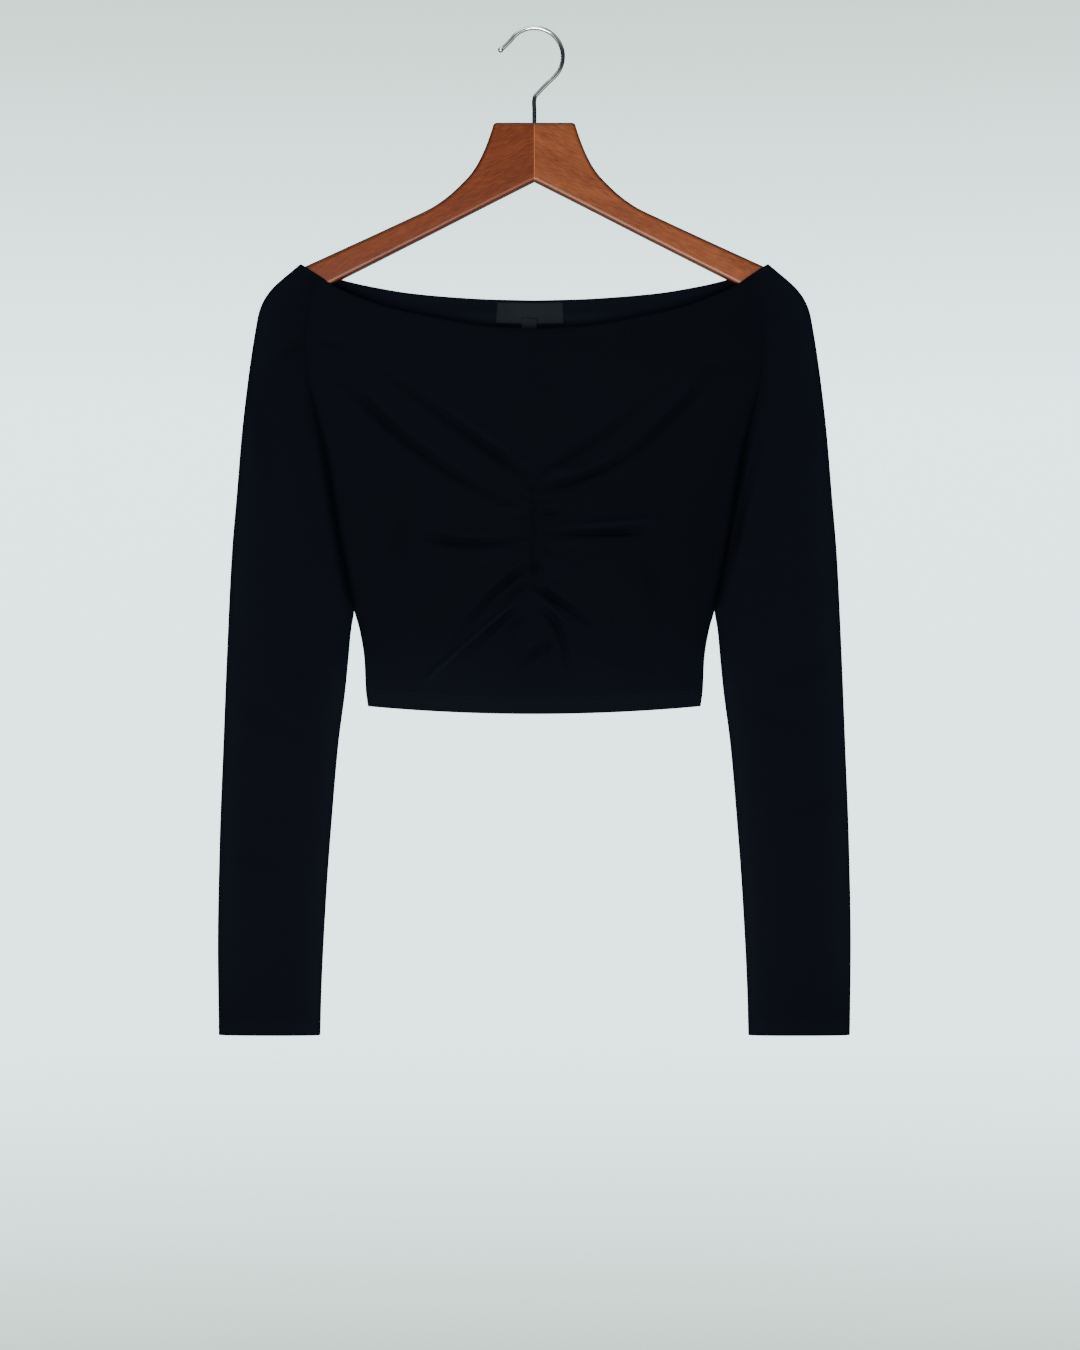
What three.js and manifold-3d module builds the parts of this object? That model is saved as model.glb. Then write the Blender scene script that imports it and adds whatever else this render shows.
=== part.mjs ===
// A long-sleeved crop top with a gathered centre front, hanging on a wooden hanger.
// Millimetres, +Z up, the wearer's front faces -Y. The origin is the inside top of the
// hanger's hook, where a rail or a nail carries the whole thing.
import * as THREE from 'three';
import { mergeVertices } from 'three/addons/utils/BufferGeometryUtils.js';
import Module from 'manifold-3d';

const wasm = await Module();
wasm.setup();

// Cloth
const WALL = 1.4; // thickness of the cloth wall
const SEAM_GAP = 0.3; // between two pieces at a seam
const HEM_Z = -608.4; // lower corner of the body at the side seam
const HEM_DROP = 6.8; // how much lower the hem is at the centre
const CUFF_Z = -904;
const UNDERARM_Z = -523;
const ARMHOLE_TOP_X = 192; // where the armhole seams end at the neckline
const PEAK = { x: 210.4, z: -211.2 }; // neckline where it crosses the hanger's end

// Levels of the grid's rows over the shoulder, the same on both sides of the armhole seam,
// whose bow would otherwise close the gap between two coarser rows
const SHOULDER_LEVELS = [-350, -336, -322, -308, -295, -283, -271, -260, -250, -242, -235, -228];

// Wooden hanger
const WOOD_THICK = 12;
const WOOD_ROUND = 2.2; // rounding of its long edges
const NECK_TOP_Z = -84.2;
const NECK_HALF = 36.6;
const NECK_CORNER = 4;
const FLANK = [ // from the neck's corner down to the straight arm
  { x: 42.5, z: -103 }, { x: 50, z: -119.5 }, { x: 67, z: -141 }, { x: 94, z: -161.8 },
];
const NOSE = { x: 207.4, z: -227.7, radius: 12.4, tilt: 65 }; // round end of each arm
const UNDERSIDE = [{ x: 94, z: -184.2 }, { x: 40, z: -156.6 }, { x: 0, z: -136.4 }];
const MITRE_GAP = 0.3;

// Hook
const WIRE = 3.6;
const HOOK_RADIUS = 25.7; // of the wire's centreline
const HOOK_BEND_Z = -60.4; // where the slanted stretch meets the upright shank
const SHANK_DEEP = 18; // how far the shank goes into the wood
const BORE_CLEAR = 0.3;
const BEAD_RADIUS = 2.5; // bead on the hook's free end

// Neck label and size tab, on the inside of the back
const LABEL = { left: -34, right: 26, top: -244.4, bottom: -264, thick: 0.6 };
const TAB = { left: -11.5, right: 2.5, top: -264.4, bottom: -275.5, thick: 0.6 };

// Edge of the body from the neckline down: armhole seam, then side seam
const BODY_EDGE = [
  { z: -218, x: 192 }, { z: -223.5, x: 192 }, { z: -236, x: 197.5 }, { z: -256, x: 202 },
  { z: -283, x: 204.5 }, { z: -310, x: 203.5 }, { z: -345, x: 196.5 }, { z: -378, x: 188.8 },
  { z: -450, x: 177.3 }, { z: -500, x: 167.4 }, { z: -523, x: 162 }, { z: -540, x: 157.2 },
  { z: -567, x: 152.9 }, { z: -594, x: 151.6 }, { z: -609, x: 149.6 },
];

// Inner edge of the sleeve from the underarm to the cuff
const SLEEVE_INNER = [
  { z: -523, x: 162 }, { z: -540, x: 164.9 }, { z: -567, x: 167.4 }, { z: -594, x: 170.1 },
  { z: -643, x: 176.4 }, { z: -711, x: 182.3 }, { z: -778, x: 187.2 }, { z: -868, x: 191.7 },
  { z: -904, x: 192.6 },
];

// Outer edge of the sleeve from the shoulder to the cuff
const SLEEVE_OUTER = [
  { z: -221, x: 222.4 }, { z: -228, x: 230.6 }, { z: -236, x: 239 }, { z: -243, x: 243.2 },
  { z: -253, x: 247.4 }, { z: -270, x: 250.8 }, { z: -310, x: 257 }, { z: -364, x: 263.3 },
  { z: -418, x: 267.8 }, { z: -472, x: 272.3 }, { z: -553, x: 276.3 }, { z: -643, x: 279.9 },
  { z: -733, x: 283.3 }, { z: -823, x: 284.9 }, { z: -904, x: 284 },
];

const FRONT_NECKLINE = [
  { x: 0, z: -270.6 }, { x: 45, z: -267.6 }, { x: 90, z: -260 }, { x: 132, z: -250.7 },
  { x: 161, z: -240.3 }, { x: 183, z: -229.8 }, { x: 192, z: -223.5 },
];

const BACK_NECKLINE = [
  { x: 0, z: -242.4 }, { x: 40, z: -241.5 }, { x: 76, z: -239.4 }, { x: 112, z: -236 },
  { x: 148, z: -230 }, { x: 170, z: -225 }, { x: 192, z: -218.1 },
];

// Outer faces' distance from the middle plane, level by level: at the armhole and side
// seams, at the middle of the front, at the middle of the back, and of a sleeve
const DEPTH = [
  { z: -211, seam: 8.4, front: 8.6, back: 8.4, sleeve: 8.5 },
  { z: -240, seam: 8.3, front: 9.2, back: 8.4, sleeve: 8.8 },
  { z: -283, seam: 7.6, front: 10.8, back: 8.8, sleeve: 9.4 },
  { z: -345, seam: 5.6, front: 12.2, back: 9.4, sleeve: 9.8 },
  { z: -450, seam: 4.4, front: 13, back: 9.8, sleeve: 9.6 },
  { z: -500, seam: 3.0, front: 12.8, back: 9.6, sleeve: 9.2 },
  { z: -523, seam: 1.9, front: 12.5, back: 9.5, sleeve: 9 },
  { z: -545, seam: 1.55, front: 12.2, back: 9.3, sleeve: 9 },
  { z: -616, seam: 1.55, front: 11, back: 8.8, sleeve: 8.8 },
  { z: -760, seam: 1.55, front: 11, back: 8.8, sleeve: 8.2 },
  { z: -904, seam: 1.55, front: 11, back: 8.8, sleeve: 7.6 },
];

// Folds, each along a curve from its deep end (x0, z0) by (x1, z1) to where it fades
// (x2, z2). A negative depth is a ridge.
const FRONT_FOLDS = [
  { x0: -12, z0: -400, x1: -88.7, z1: -338.9, x2: -145, z2: -298, wide: 7, deep: 2.6 },
  { x0: 10, z0: -386, x1: 96, z1: -357, x2: 150, z2: -312, wide: 7, deep: 2.2 },
  { x0: -24, z0: -425, x1: -93, z1: -398, x2: -163, z2: -328, wide: 8, deep: 2.6 },
  { x0: 14, z0: -411, x1: 74, z1: -393, x2: 124, z2: -352, wide: 8, deep: 2.0 },
  { x0: -5, z0: -454, x1: -40, z1: -459, x2: -84, z2: -458, wide: 6, deep: 2.6 },
  { x0: 6, z0: -453, x1: 40, z1: -453, x2: 92, z2: -449, wide: 6, deep: 2.8 },
  { x0: 8, z0: -443, x1: 40, z1: -443, x2: 96, z2: -440, wide: 6, deep: -1.6 },
  { x0: -6, z0: -486, x1: -37, z1: -506, x2: -84, z2: -566, wide: 6, deep: 2.4 },
  { x0: -10, z0: -506, x1: -28, z1: -530, x2: -56, z2: -558, wide: 5, deep: 2.0 },
  { x0: 5, z0: -490, x1: 26, z1: -518, x2: 54, z2: -537, wide: 6, deep: 2.4 },
  { x0: 6, z0: -500, x1: 30, z1: -530, x2: 56, z2: -549, wide: 5, deep: -1.4 },
  { x0: 9, z0: -522, x1: 27, z1: -546, x2: 33, z2: -580, wide: 6, deep: 2.0 },
  { x0: 12, z0: -545, x1: 3, z1: -566, x2: -14, z2: -576, wide: 6, deep: 2.0 },
  { x0: -76, z0: -568, x1: -92, z1: -578, x2: -108, z2: -586, wide: 7, deep: -1.4 },
  { x0: -196, z0: -280, x1: -178, z1: -284, x2: -160, z2: -286, wide: 6, deep: 1.2 },
];
const BACK_FOLDS = [
  { x0: -168, z0: -300, x1: -110, z1: -330, x2: -40, z2: -350, wide: 12, deep: 1.8 },
  { x0: 170, z0: -306, x1: 120, z1: -350, x2: 60, z2: -378, wide: 12, deep: 1.8 },
  { x0: -150, z0: -500, x1: -100, z1: -480, x2: -40, z2: -474, wide: 10, deep: 1.4 },
  { x0: 148, z0: -520, x1: 90, z1: -506, x2: 30, z2: -512, wide: 10, deep: 1.4 },
];
const RIGHT_SLEEVE_FOLDS = [
  { x0: 206, z0: -395, x1: 190, z1: -448, x2: 186, z2: -530, wide: 6, deep: 1.8 },
  { x0: 272, z0: -560, x1: 240, z1: -585, x2: 205, z2: -590, wide: 10, deep: 1.2 },
];
const LEFT_SLEEVE_FOLDS = [
  { x0: 208, z0: -282, x1: 226, z1: -290, x2: 240, z2: -302, wide: 8, deep: 1.2 },
  { x0: 270, z0: -600, x1: 236, z1: -630, x2: 204, z2: -634, wide: 10, deep: 1.2 },
];

// Small puckers beside the gathered centre line of the front
const GATHER = { top: -402, bottom: -572, pitch: 21, reach: 15, pucker: 0.9, line: 1.3 };

const MATERIALS = {
  jersey: new THREE.MeshStandardMaterial({ color: 0x101419, roughness: 0.82, metalness: 0 }),
  label: new THREE.MeshStandardMaterial({ color: 0x2d3236, roughness: 0.6, metalness: 0 }),
  wood: new THREE.MeshStandardMaterial({ color: 0x8b4a28, roughness: 0.35, metalness: 0 }),
  chrome: new THREE.MeshStandardMaterial({ color: 0xc8cbce, roughness: 0.12, metalness: 1 }),
};

const top = new THREE.Group();

function addPiece(name, geometry, material) {
  const mesh = new THREE.Mesh(geometry, material);
  mesh.name = name;
  top.add(mesh);
}

// Smooth value of a table's column: a monotone cubic through its rows, so that it never
// swings past a row, and level with the end rows outside them.
function smoothColumn(table, along, column) {
  const rows = [...table].sort((a, b) => a[along] - b[along]);
  const at = rows.map((row) => row[along]);
  const value = rows.map((row) => row[column]);
  const secants = at.slice(1).map((end, i) => (value[i + 1] - value[i]) / (end - at[i]));
  const slopes = at.map((_, i) => {
    if (i === 0) return secants[0];
    if (i === at.length - 1) return secants[i - 1];
    const [before, after] = [secants[i - 1], secants[i]];
    return before * after <= 0 ? 0 : (2 * before * after) / (before + after);
  });
  return (t) => {
    if (t <= at[0]) return value[0];
    if (t >= at[at.length - 1]) return value[value.length - 1];
    const i = at.findIndex((end) => end > t) - 1;
    const span = at[i + 1] - at[i];
    const s = (t - at[i]) / span;
    return value[i] * (1 + 2 * s) * (1 - s) ** 2 + value[i + 1] * s ** 2 * (3 - 2 * s)
      + span * (slopes[i] * s * (1 - s) ** 2 - slopes[i + 1] * s ** 2 * (1 - s));
  };
}

const bodyEdge = smoothColumn(BODY_EDGE, 'z', 'x');
const sleeveInner = smoothColumn(SLEEVE_INNER, 'z', 'x');
const sleeveOuter = smoothColumn(SLEEVE_OUTER, 'z', 'x');
const frontNeckline = smoothColumn(FRONT_NECKLINE, 'x', 'z');
const backNeckline = smoothColumn(BACK_NECKLINE, 'x', 'z');
const seamDepth = smoothColumn(DEPTH, 'z', 'seam');
const frontDepth = smoothColumn(DEPTH, 'z', 'front');
const backDepth = smoothColumn(DEPTH, 'z', 'back');
const sleeveDepth = smoothColumn(DEPTH, 'z', 'sleeve');

const mix = (a, b, t) => a + (b - a) * t;

// 0 before start, 1 after end, smooth between them
function ramp(start, end, t) {
  const s = THREE.MathUtils.clamp((t - start) / (end - start), 0, 1);
  return s * s * (3 - 2 * s);
}

// How far the folds of a table press the cloth in at (x, z): each is a soft trough across
// its curve, deepest near its start and gone at its end.
function foldDepth(folds, x, z) {
  const steps = 10;
  let depth = 0;
  for (const f of folds) {
    let nearest = Infinity;
    let along = 0;
    for (let k = 0; k <= steps; k += 1) {
      const t = k / steps;
      const px = (1 - t) ** 2 * f.x0 + 2 * t * (1 - t) * f.x1 + t ** 2 * f.x2;
      const pz = (1 - t) ** 2 * f.z0 + 2 * t * (1 - t) * f.z1 + t ** 2 * f.z2;
      const distance = Math.hypot(x - px, z - pz);
      if (distance < nearest) {
        nearest = distance;
        along = t;
      }
    }
    depth += f.deep * Math.exp(-((nearest / f.wide) ** 2)) * (1 - along ** 2);
  }
  return depth;
}

// The stitched line down the middle of the front and the puckers that it draws up
function gatherDepth(x, z) {
  const within = ramp(GATHER.bottom, GATHER.bottom + 20, z) * ramp(GATHER.top, GATHER.top - 20, z);
  const side = x < 0 ? 0 : Math.PI * 0.7;
  const wave = Math.sin((2 * Math.PI * z) / GATHER.pitch + side);
  const pucker = GATHER.pucker * wave * Math.exp(-((x / GATHER.reach) ** 2));
  const line = GATHER.line * Math.exp(-((x / 4) ** 2));
  return within * (pucker + line);
}

// Values from -1 to 1 (or 0 to 1), closer together where the cloth has more form:
// closeness takes from every spacing where the cosine round its centre is high.
function spaced(count, start, end, closeness, period, centre) {
  const k = (2 * Math.PI) / period;
  const eased = (t) => t - (closeness / k) * Math.sin(k * (t - centre));
  const [low, high] = [eased(start), eased(end)];
  return Array.from({ length: count + 1 }, (_, i) => {
    const t = mix(start, end, i / count);
    return mix(start, end, (eased(t) - low) / (high - low));
  });
}

// A closed wall of cloth. outer(u, v) is its outer face, with u to the right and v up as
// seen from outside. The inner face lies one wall further in along the normal; at the
// side seams it lies straight behind the outer one, so that two pieces keep their gap,
// and at the lower edge it stays level.
function clothWall({ columns, rows, outer, thick = WALL }) {
  const face = rows.map((v) => columns.map((u) => outer(u, v)));
  const lastRow = rows.length - 1;
  const lastColumn = columns.length - 1;
  const inner = face.map((row, j) => row.map((point, i) => {
    const across = new THREE.Vector3().subVectors(
      face[j][Math.min(i + 1, lastColumn)], face[j][Math.max(i - 1, 0)]);
    const up = new THREE.Vector3().subVectors(
      face[Math.min(j + 1, lastRow)][i], face[Math.max(j - 1, 0)][i]);
    const outward = across.cross(up).normalize();
    if (i === 0 || i === lastColumn) outward.set(0, Math.sign(outward.y), 0);
    if (j === 0) outward.setZ(0).normalize();
    return point.clone().addScaledVector(outward, -thick);
  }));
  const points = [...face.flat(), ...inner.flat()];
  const outerAt = (i, j) => j * columns.length + i;
  const innerAt = (i, j) => outerAt(i, j) + face.flat().length;
  const triangles = [];
  const quad = (a, b, c, d) => triangles.push(a, b, c, a, c, d);
  for (let j = 0; j < lastRow; j += 1) {
    for (let i = 0; i < lastColumn; i += 1) {
      quad(outerAt(i, j), outerAt(i + 1, j), outerAt(i + 1, j + 1), outerAt(i, j + 1));
      quad(innerAt(i, j), innerAt(i, j + 1), innerAt(i + 1, j + 1), innerAt(i + 1, j));
    }
    quad(innerAt(0, j), outerAt(0, j), outerAt(0, j + 1), innerAt(0, j + 1));
    quad(outerAt(lastColumn, j), innerAt(lastColumn, j),
      innerAt(lastColumn, j + 1), outerAt(lastColumn, j + 1));
  }
  for (let i = 0; i < lastColumn; i += 1) {
    quad(innerAt(i, 0), innerAt(i + 1, 0), outerAt(i + 1, 0), outerAt(i, 0));
    quad(outerAt(i, lastRow), outerAt(i + 1, lastRow),
      innerAt(i + 1, lastRow), innerAt(i, lastRow));
  }
  const geometry = new THREE.BufferGeometry().setFromPoints(points);
  geometry.setIndex(triangles);
  geometry.computeVertexNormals();
  return geometry;
}

// A point of a body panel's outer face. u runs from one side edge (-1) to the other (1),
// v from the hem (0) to the neckline (1). The panel is crowned: full over its middle and
// drawn back to the seams at its edges.
function panelPoint(u, v, neckline, depth, facing, relief) {
  const topZ = neckline(Math.abs(u) * ARMHOLE_TOP_X);
  const edgeZ = mix(HEM_Z, neckline(ARMHOLE_TOP_X), v);
  const x = u * (bodyEdge(edgeZ) - SEAM_GAP / 2);
  const z = mix(HEM_Z - HEM_DROP * (1 - u * u), topZ, v);
  const crown = (1 - Math.abs(u) ** 4) ** 0.6;
  const full = mix(seamDepth(edgeZ), depth(z), crown) - relief(x, z) * (1 - u ** 8);
  return new THREE.Vector3(x, facing * full, z);
}

function frontPoint(u, v) {
  const relief = (x, z) => foldDepth(FRONT_FOLDS, x, z) + gatherDepth(x, z);
  return panelPoint(u, v, frontNeckline, frontDepth, -1, relief);
}

// The back is seen from behind, so its u runs the other way.
function backPoint(u, v) {
  return panelPoint(-u, v, backNeckline, backDepth, 1, (x, z) => foldDepth(BACK_FOLDS, x, z));
}

// Outline of a flattened tube: turn 0 is its inner edge and 1 its outer edge. across is
// the share of its width, full the share of its depth.
function tubeOutline(turn, squareness) {
  const angle = Math.PI * turn;
  const power = 2 / squareness;
  const cosine = Math.cos(angle);
  return {
    across: (1 - Math.sign(cosine) * Math.abs(cosine) ** power) / 2,
    full: Math.max(Math.sin(angle), 0) ** power,
  };
}

// A point of the right sleeve's outer face. u runs from the front seam (-1) round the
// outer edge (0) to the back seam (1); v runs from the cuff (0) by the highest level
// section (1) to the neckline (2). The level sections are open to the body above the
// underarm. Beyond them the rows rise to the neckline, which climbs over the hanger's end.
function sleevePoint(u, v, folds) {
  const front = u < 0;
  const z = mix(CUFF_Z, SHOULDER_LEVELS.at(-1), Math.min(v, 1));
  const squareness = mix(2.5, 3.6, ramp(-330, -240, z));
  const { across, full } = tubeOutline(1 - Math.abs(u), squareness);
  const inner = (z > UNDERARM_Z ? bodyEdge(z) : sleeveInner(z)) + SEAM_GAP / 2;
  const seam = across < 0.5 ? seamDepth(z) : 0;
  const x = mix(inner, sleeveOuter(z), across);
  const rim = Math.min(full * 2, 1);
  const depth = mix(seam, sleeveDepth(z), full) - (front ? foldDepth(folds, x, z) * rim : 0);
  const facing = front ? -1 : 1;
  const level = new THREE.Vector3(x, facing * depth, z);
  const rise = Math.max(v - 1, 0);
  const start = front ? frontNeckline(ARMHOLE_TOP_X) : backNeckline(ARMHOLE_TOP_X);
  const neckline = new THREE.Vector3(
    mix(ARMHOLE_TOP_X + SEAM_GAP / 2, PEAK.x, across),
    facing * mix(across < 0.5 ? seamDepth(start) : 0, sleeveDepth(PEAK.z), full),
    mix(start, PEAK.z, across));
  return level.lerp(neckline, rise);
}

// The left sleeve mirrors the right one, with folds of its own.
function leftSleevePoint(u, v) {
  const point = sleevePoint(-u, v, LEFT_SLEEVE_FOLDS);
  return point.setX(-point.x);
}

// A small flat piece on the inside of the back, made from the back's own points moved in
function backInsidePatch({ left, right, top: upper, bottom, thick }) {
  const panelHeight = backNeckline(0) - HEM_Z + HEM_DROP;
  const heightShare = (z) => (z - HEM_Z + HEM_DROP) / panelHeight;
  const widthShare = (x) => x / ARMHOLE_TOP_X;
  const outer = (u, v) => {
    const point = backPoint(-u, v);
    return point.setY(point.y - WALL - SEAM_GAP - thick);
  };
  const columns = spaced(4, widthShare(left), widthShare(right), 0, 1, 0);
  const rows = [heightShare(bottom), heightShare(upper)];
  return clothWall({ columns, rows, outer, thick });
}

// Rows of a panel or sleeve whose v runs from low to high: count rows up to the shoulder,
// then the levels that both sides of the armhole share
function rowsUpToShoulder(low, high, count, closeness) {
  const share = (z) => (z - low) / (high - low);
  const below = spaced(count, 0, share(SHOULDER_LEVELS[0]), closeness, 1, 0.4);
  return [...below.slice(0, -1), ...SHOULDER_LEVELS.map(share)];
}

function buildCloth() {
  const frontTop = frontNeckline(ARMHOLE_TOP_X);
  addPiece('front_panel', clothWall({
    columns: spaced(36, -1, 1, 0.4, 1, 0),
    rows: [...rowsUpToShoulder(HEM_Z, frontTop, 27, 0.3), 1],
    outer: frontPoint,
  }), MATERIALS.jersey);
  const backTop = backNeckline(ARMHOLE_TOP_X);
  addPiece('back_panel', clothWall({
    columns: spaced(18, -1, 1, 0.35, 1, 0),
    rows: [...rowsUpToShoulder(HEM_Z, backTop, 10, 0), 1],
    outer: backPoint,
  }), MATERIALS.jersey);
  const sleeveColumns = spaced(16, -1, 1, 0, 1, 0);
  const sleeveRows = [
    ...rowsUpToShoulder(CUFF_Z, SHOULDER_LEVELS.at(-1), 18, 0), 1.35, 1.7, 2,
  ];
  addPiece('sleeve_right', clothWall({
    columns: sleeveColumns,
    rows: sleeveRows,
    outer: (u, v) => sleevePoint(u, v, RIGHT_SLEEVE_FOLDS),
  }), MATERIALS.jersey);
  addPiece('sleeve_left', clothWall({
    columns: sleeveColumns, rows: sleeveRows, outer: leftSleevePoint,
  }), MATERIALS.jersey);
  addPiece('neck_label', backInsidePatch(LABEL), MATERIALS.label);
  addPiece('size_tab', backInsidePatch(TAB), MATERIALS.label);
}

function solidOf(geometry) {
  const bare = geometry.clone();
  bare.deleteAttribute('normal');
  bare.deleteAttribute('uv');
  const merged = mergeVertices(bare, 1e-4);
  return new wasm.Manifold(new wasm.Mesh({
    numProp: 3,
    vertProperties: new Float32Array(merged.attributes.position.array),
    triVerts: new Uint32Array(merged.index.array),
  }));
}

function geometryOf(solid) {
  const mesh = solid.getMesh();
  const geometry = new THREE.BufferGeometry();
  geometry.setAttribute('position', new THREE.BufferAttribute(mesh.vertProperties, 3));
  geometry.setIndex(new THREE.BufferAttribute(mesh.triVerts, 1));
  geometry.computeVertexNormals();
  return geometry;
}

// Right half of the hanger's outline, from the middle of its top round the arm's end to
// the middle of its underside
function hangerOutline() {
  const shape = new THREE.Path();
  shape.moveTo(0, NECK_TOP_Z);
  shape.lineTo(NECK_HALF - NECK_CORNER, NECK_TOP_Z);
  shape.quadraticCurveTo(NECK_HALF, NECK_TOP_Z, NECK_HALF + 0.8, NECK_TOP_Z - NECK_CORNER);
  shape.splineThru(FLANK.map(({ x, z }) => new THREE.Vector2(x, z)));
  const tilt = THREE.MathUtils.degToRad(NOSE.tilt);
  shape.absarc(NOSE.x, NOSE.z, NOSE.radius, tilt, tilt - Math.PI, true);
  for (const { x, z } of UNDERSIDE) shape.lineTo(x, z);
  return shape.getPoints(6);
}

// The hanger is one board with rounded edges, mitred down its middle into two halves and
// bored for the hook's shank.
function buildHanger() {
  const half = hangerOutline();
  const mirrored = half.slice(1, -1).reverse().map((p) => new THREE.Vector2(-p.x, p.y));
  const board = new THREE.ExtrudeGeometry(new THREE.Shape([...half, ...mirrored]), {
    depth: WOOD_THICK - 2 * WOOD_ROUND,
    bevelThickness: WOOD_ROUND,
    bevelSize: WOOD_ROUND,
    bevelOffset: -WOOD_ROUND,
    bevelSegments: 2,
  });
  board.translate(0, 0, WOOD_ROUND - WOOD_THICK / 2);
  board.rotateX(Math.PI / 2);
  const bore = new THREE.CylinderGeometry(
    WIRE / 2 + BORE_CLEAR, WIRE / 2 + BORE_CLEAR, 2 * SHANK_DEEP, 16);
  bore.rotateX(Math.PI / 2);
  bore.translate(0, 0, NECK_TOP_Z);
  const wood = solidOf(board).subtract(solidOf(bore));
  const cutter = new THREE.BoxGeometry(600, 100, 400);
  for (const [name, side] of [['hanger_arm_left', -1], ['hanger_arm_right', 1]]) {
    const keep = cutter.clone().translate(side * (300 + MITRE_GAP / 2), 0, -150);
    addPiece(name, geometryOf(wood.intersect(solidOf(keep))), MATERIALS.wood);
  }
}

// The hook's centreline, from its foot in the wood up the shank, along the slant and
// round to the free end, which turns out a little
function hookCentreline() {
  const centreZ = WIRE / 2 - HOOK_RADIUS;
  const points = [
    [0, NECK_TOP_Z - SHANK_DEEP + BORE_CLEAR], [0, NECK_TOP_Z], [0, -72], [0, HOOK_BEND_Z - 3],
    [1.2, HOOK_BEND_Z + 1], [6, HOOK_BEND_Z + 6.4], [12, HOOK_BEND_Z + 12.6],
  ];
  for (let degrees = -42; degrees <= 146; degrees += 11.75) {
    const angle = THREE.MathUtils.degToRad(degrees);
    points.push([HOOK_RADIUS * Math.cos(angle), centreZ + HOOK_RADIUS * Math.sin(angle)]);
  }
  points.push([-26.4, -14.6], [-32.2, -19.6]);
  return points.map(([x, z]) => new THREE.Vector3(x, 0, z));
}

function buildHook() {
  const points = hookCentreline();
  const section = new THREE.Shape().absarc(0, 0, WIRE / 2, 0, 2 * Math.PI, false);
  const wire = new THREE.ExtrudeGeometry(section, {
    steps: 48,
    curveSegments: 5,
    bevelEnabled: false,
    extrudePath: new THREE.CatmullRomCurve3(points, false, 'centripetal'),
  });
  const end = points[points.length - 1];
  const bead = new THREE.SphereGeometry(BEAD_RADIUS, 12, 8).translate(end.x, end.y, end.z);
  addPiece('hanger_hook', geometryOf(solidOf(wire).add(solidOf(bead))), MATERIALS.chrome);
}

buildCloth();
buildHanger();
buildHook();

export default top;
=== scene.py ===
"""Looks of a long-sleeved crop top with a gathered centre front, on a wooden hanger.

The cloth's tables are in millimetres in the frame of the CAD solids: origin at the inside
top of the hook, +Z up, the wearer's front towards -Y. Meshes are written in metres.
"""

import bpy
import math
import numpy as np
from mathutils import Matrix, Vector


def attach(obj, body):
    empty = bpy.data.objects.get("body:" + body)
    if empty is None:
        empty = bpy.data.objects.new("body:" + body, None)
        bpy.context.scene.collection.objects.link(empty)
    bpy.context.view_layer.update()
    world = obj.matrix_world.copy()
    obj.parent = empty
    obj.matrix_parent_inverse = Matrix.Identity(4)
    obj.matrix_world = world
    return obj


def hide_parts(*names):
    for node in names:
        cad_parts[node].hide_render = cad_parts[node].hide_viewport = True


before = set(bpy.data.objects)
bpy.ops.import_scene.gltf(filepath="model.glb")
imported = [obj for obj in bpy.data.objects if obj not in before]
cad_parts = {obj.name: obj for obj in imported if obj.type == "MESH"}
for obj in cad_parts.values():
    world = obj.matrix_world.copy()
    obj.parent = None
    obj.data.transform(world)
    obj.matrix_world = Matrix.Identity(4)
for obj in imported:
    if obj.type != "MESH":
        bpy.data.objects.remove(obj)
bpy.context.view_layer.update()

MM = 0.001

# Columns and rows of the cloth's grids
FRONT_GRID = (200, 196)
BACK_GRID = (130, 120)
SLEEVE_GRID = (108, 176)
SHOULDER_ROWS = 12
SHOULDER_SMOOTHINGS = 10
PATCH_GRID = (60, 14)


def table(names, rows):
    """A small table with named columns, as arrays."""
    return {name: np.array(column, float) for name, column in zip(names.split(), zip(*rows))}


# Sizes of the cloth
WALL = 1.4  # the solids' wall, whose outer face the cloth follows
CLOTH = 0.9  # thickness of the shell
HEM_Z = -608.4
HEM_DROP = 6.8
CUFF_Z = -904.0
UNDERARM_Z = -523.0
SHOULDER_Z = -228.0
ARMHOLE_TOP_X = 192.0
PEAK_X, PEAK_Z = 210.4, -211.2
HEM_BAND = 16.0
CUFF_BAND = 14.0
NECK_BAND = 8.0
FOLD_SHADE = 0.075  # painted shade for each millimetre of a fold's depth, painted highlight for a ridge's
SEAM_SHADE = 0.27  # painted shade in the armhole's crease
BAND_RAISE = 0.35  # how far a turned-up band stands proud
SEAM_DIP = 1.5  # how far the armhole's crease is drawn in
SEAM_SOFT = 3.4  # and half its width
LEAST_DEPTH = CLOTH + 0.12  # so that front and back never meet
FRONT_WAVES, BACK_WAVES = 0.4, 1.9  # where the slow waves of each side start
RIGHT_WAVES, LEFT_WAVES = 0.7, 2.6

BODY_EDGE = table("z x", [
    (-218, 192), (-223.5, 192), (-236, 197.5), (-256, 202), (-283, 204.5), (-310, 203.5),
    (-345, 196.5), (-378, 188.8), (-450, 177.3), (-500, 167.4), (-523, 162), (-540, 157.2),
    (-567, 152.9), (-594, 151.6), (-609, 149.6),
])
SLEEVE_INNER = table("z x", [
    (-523, 162), (-540, 164.9), (-567, 167.4), (-594, 170.1), (-643, 176.4), (-711, 182.3),
    (-778, 187.2), (-868, 191.7), (-904, 192.6),
])
SLEEVE_OUTER = table("z x", [
    (-221, 222.4), (-228, 230.6), (-236, 239), (-243, 243.2), (-253, 247.4), (-270, 250.8),
    (-310, 257), (-364, 263.3), (-418, 267.8), (-472, 272.3), (-553, 276.3), (-643, 279.9),
    (-733, 283.3), (-823, 284.9), (-904, 284),
])
FRONT_NECKLINE = table("x z", [
    (0, -270.6), (45, -267.6), (90, -260), (132, -250.7), (161, -240.3), (183, -229.8),
    (192, -223.5),
])
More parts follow.
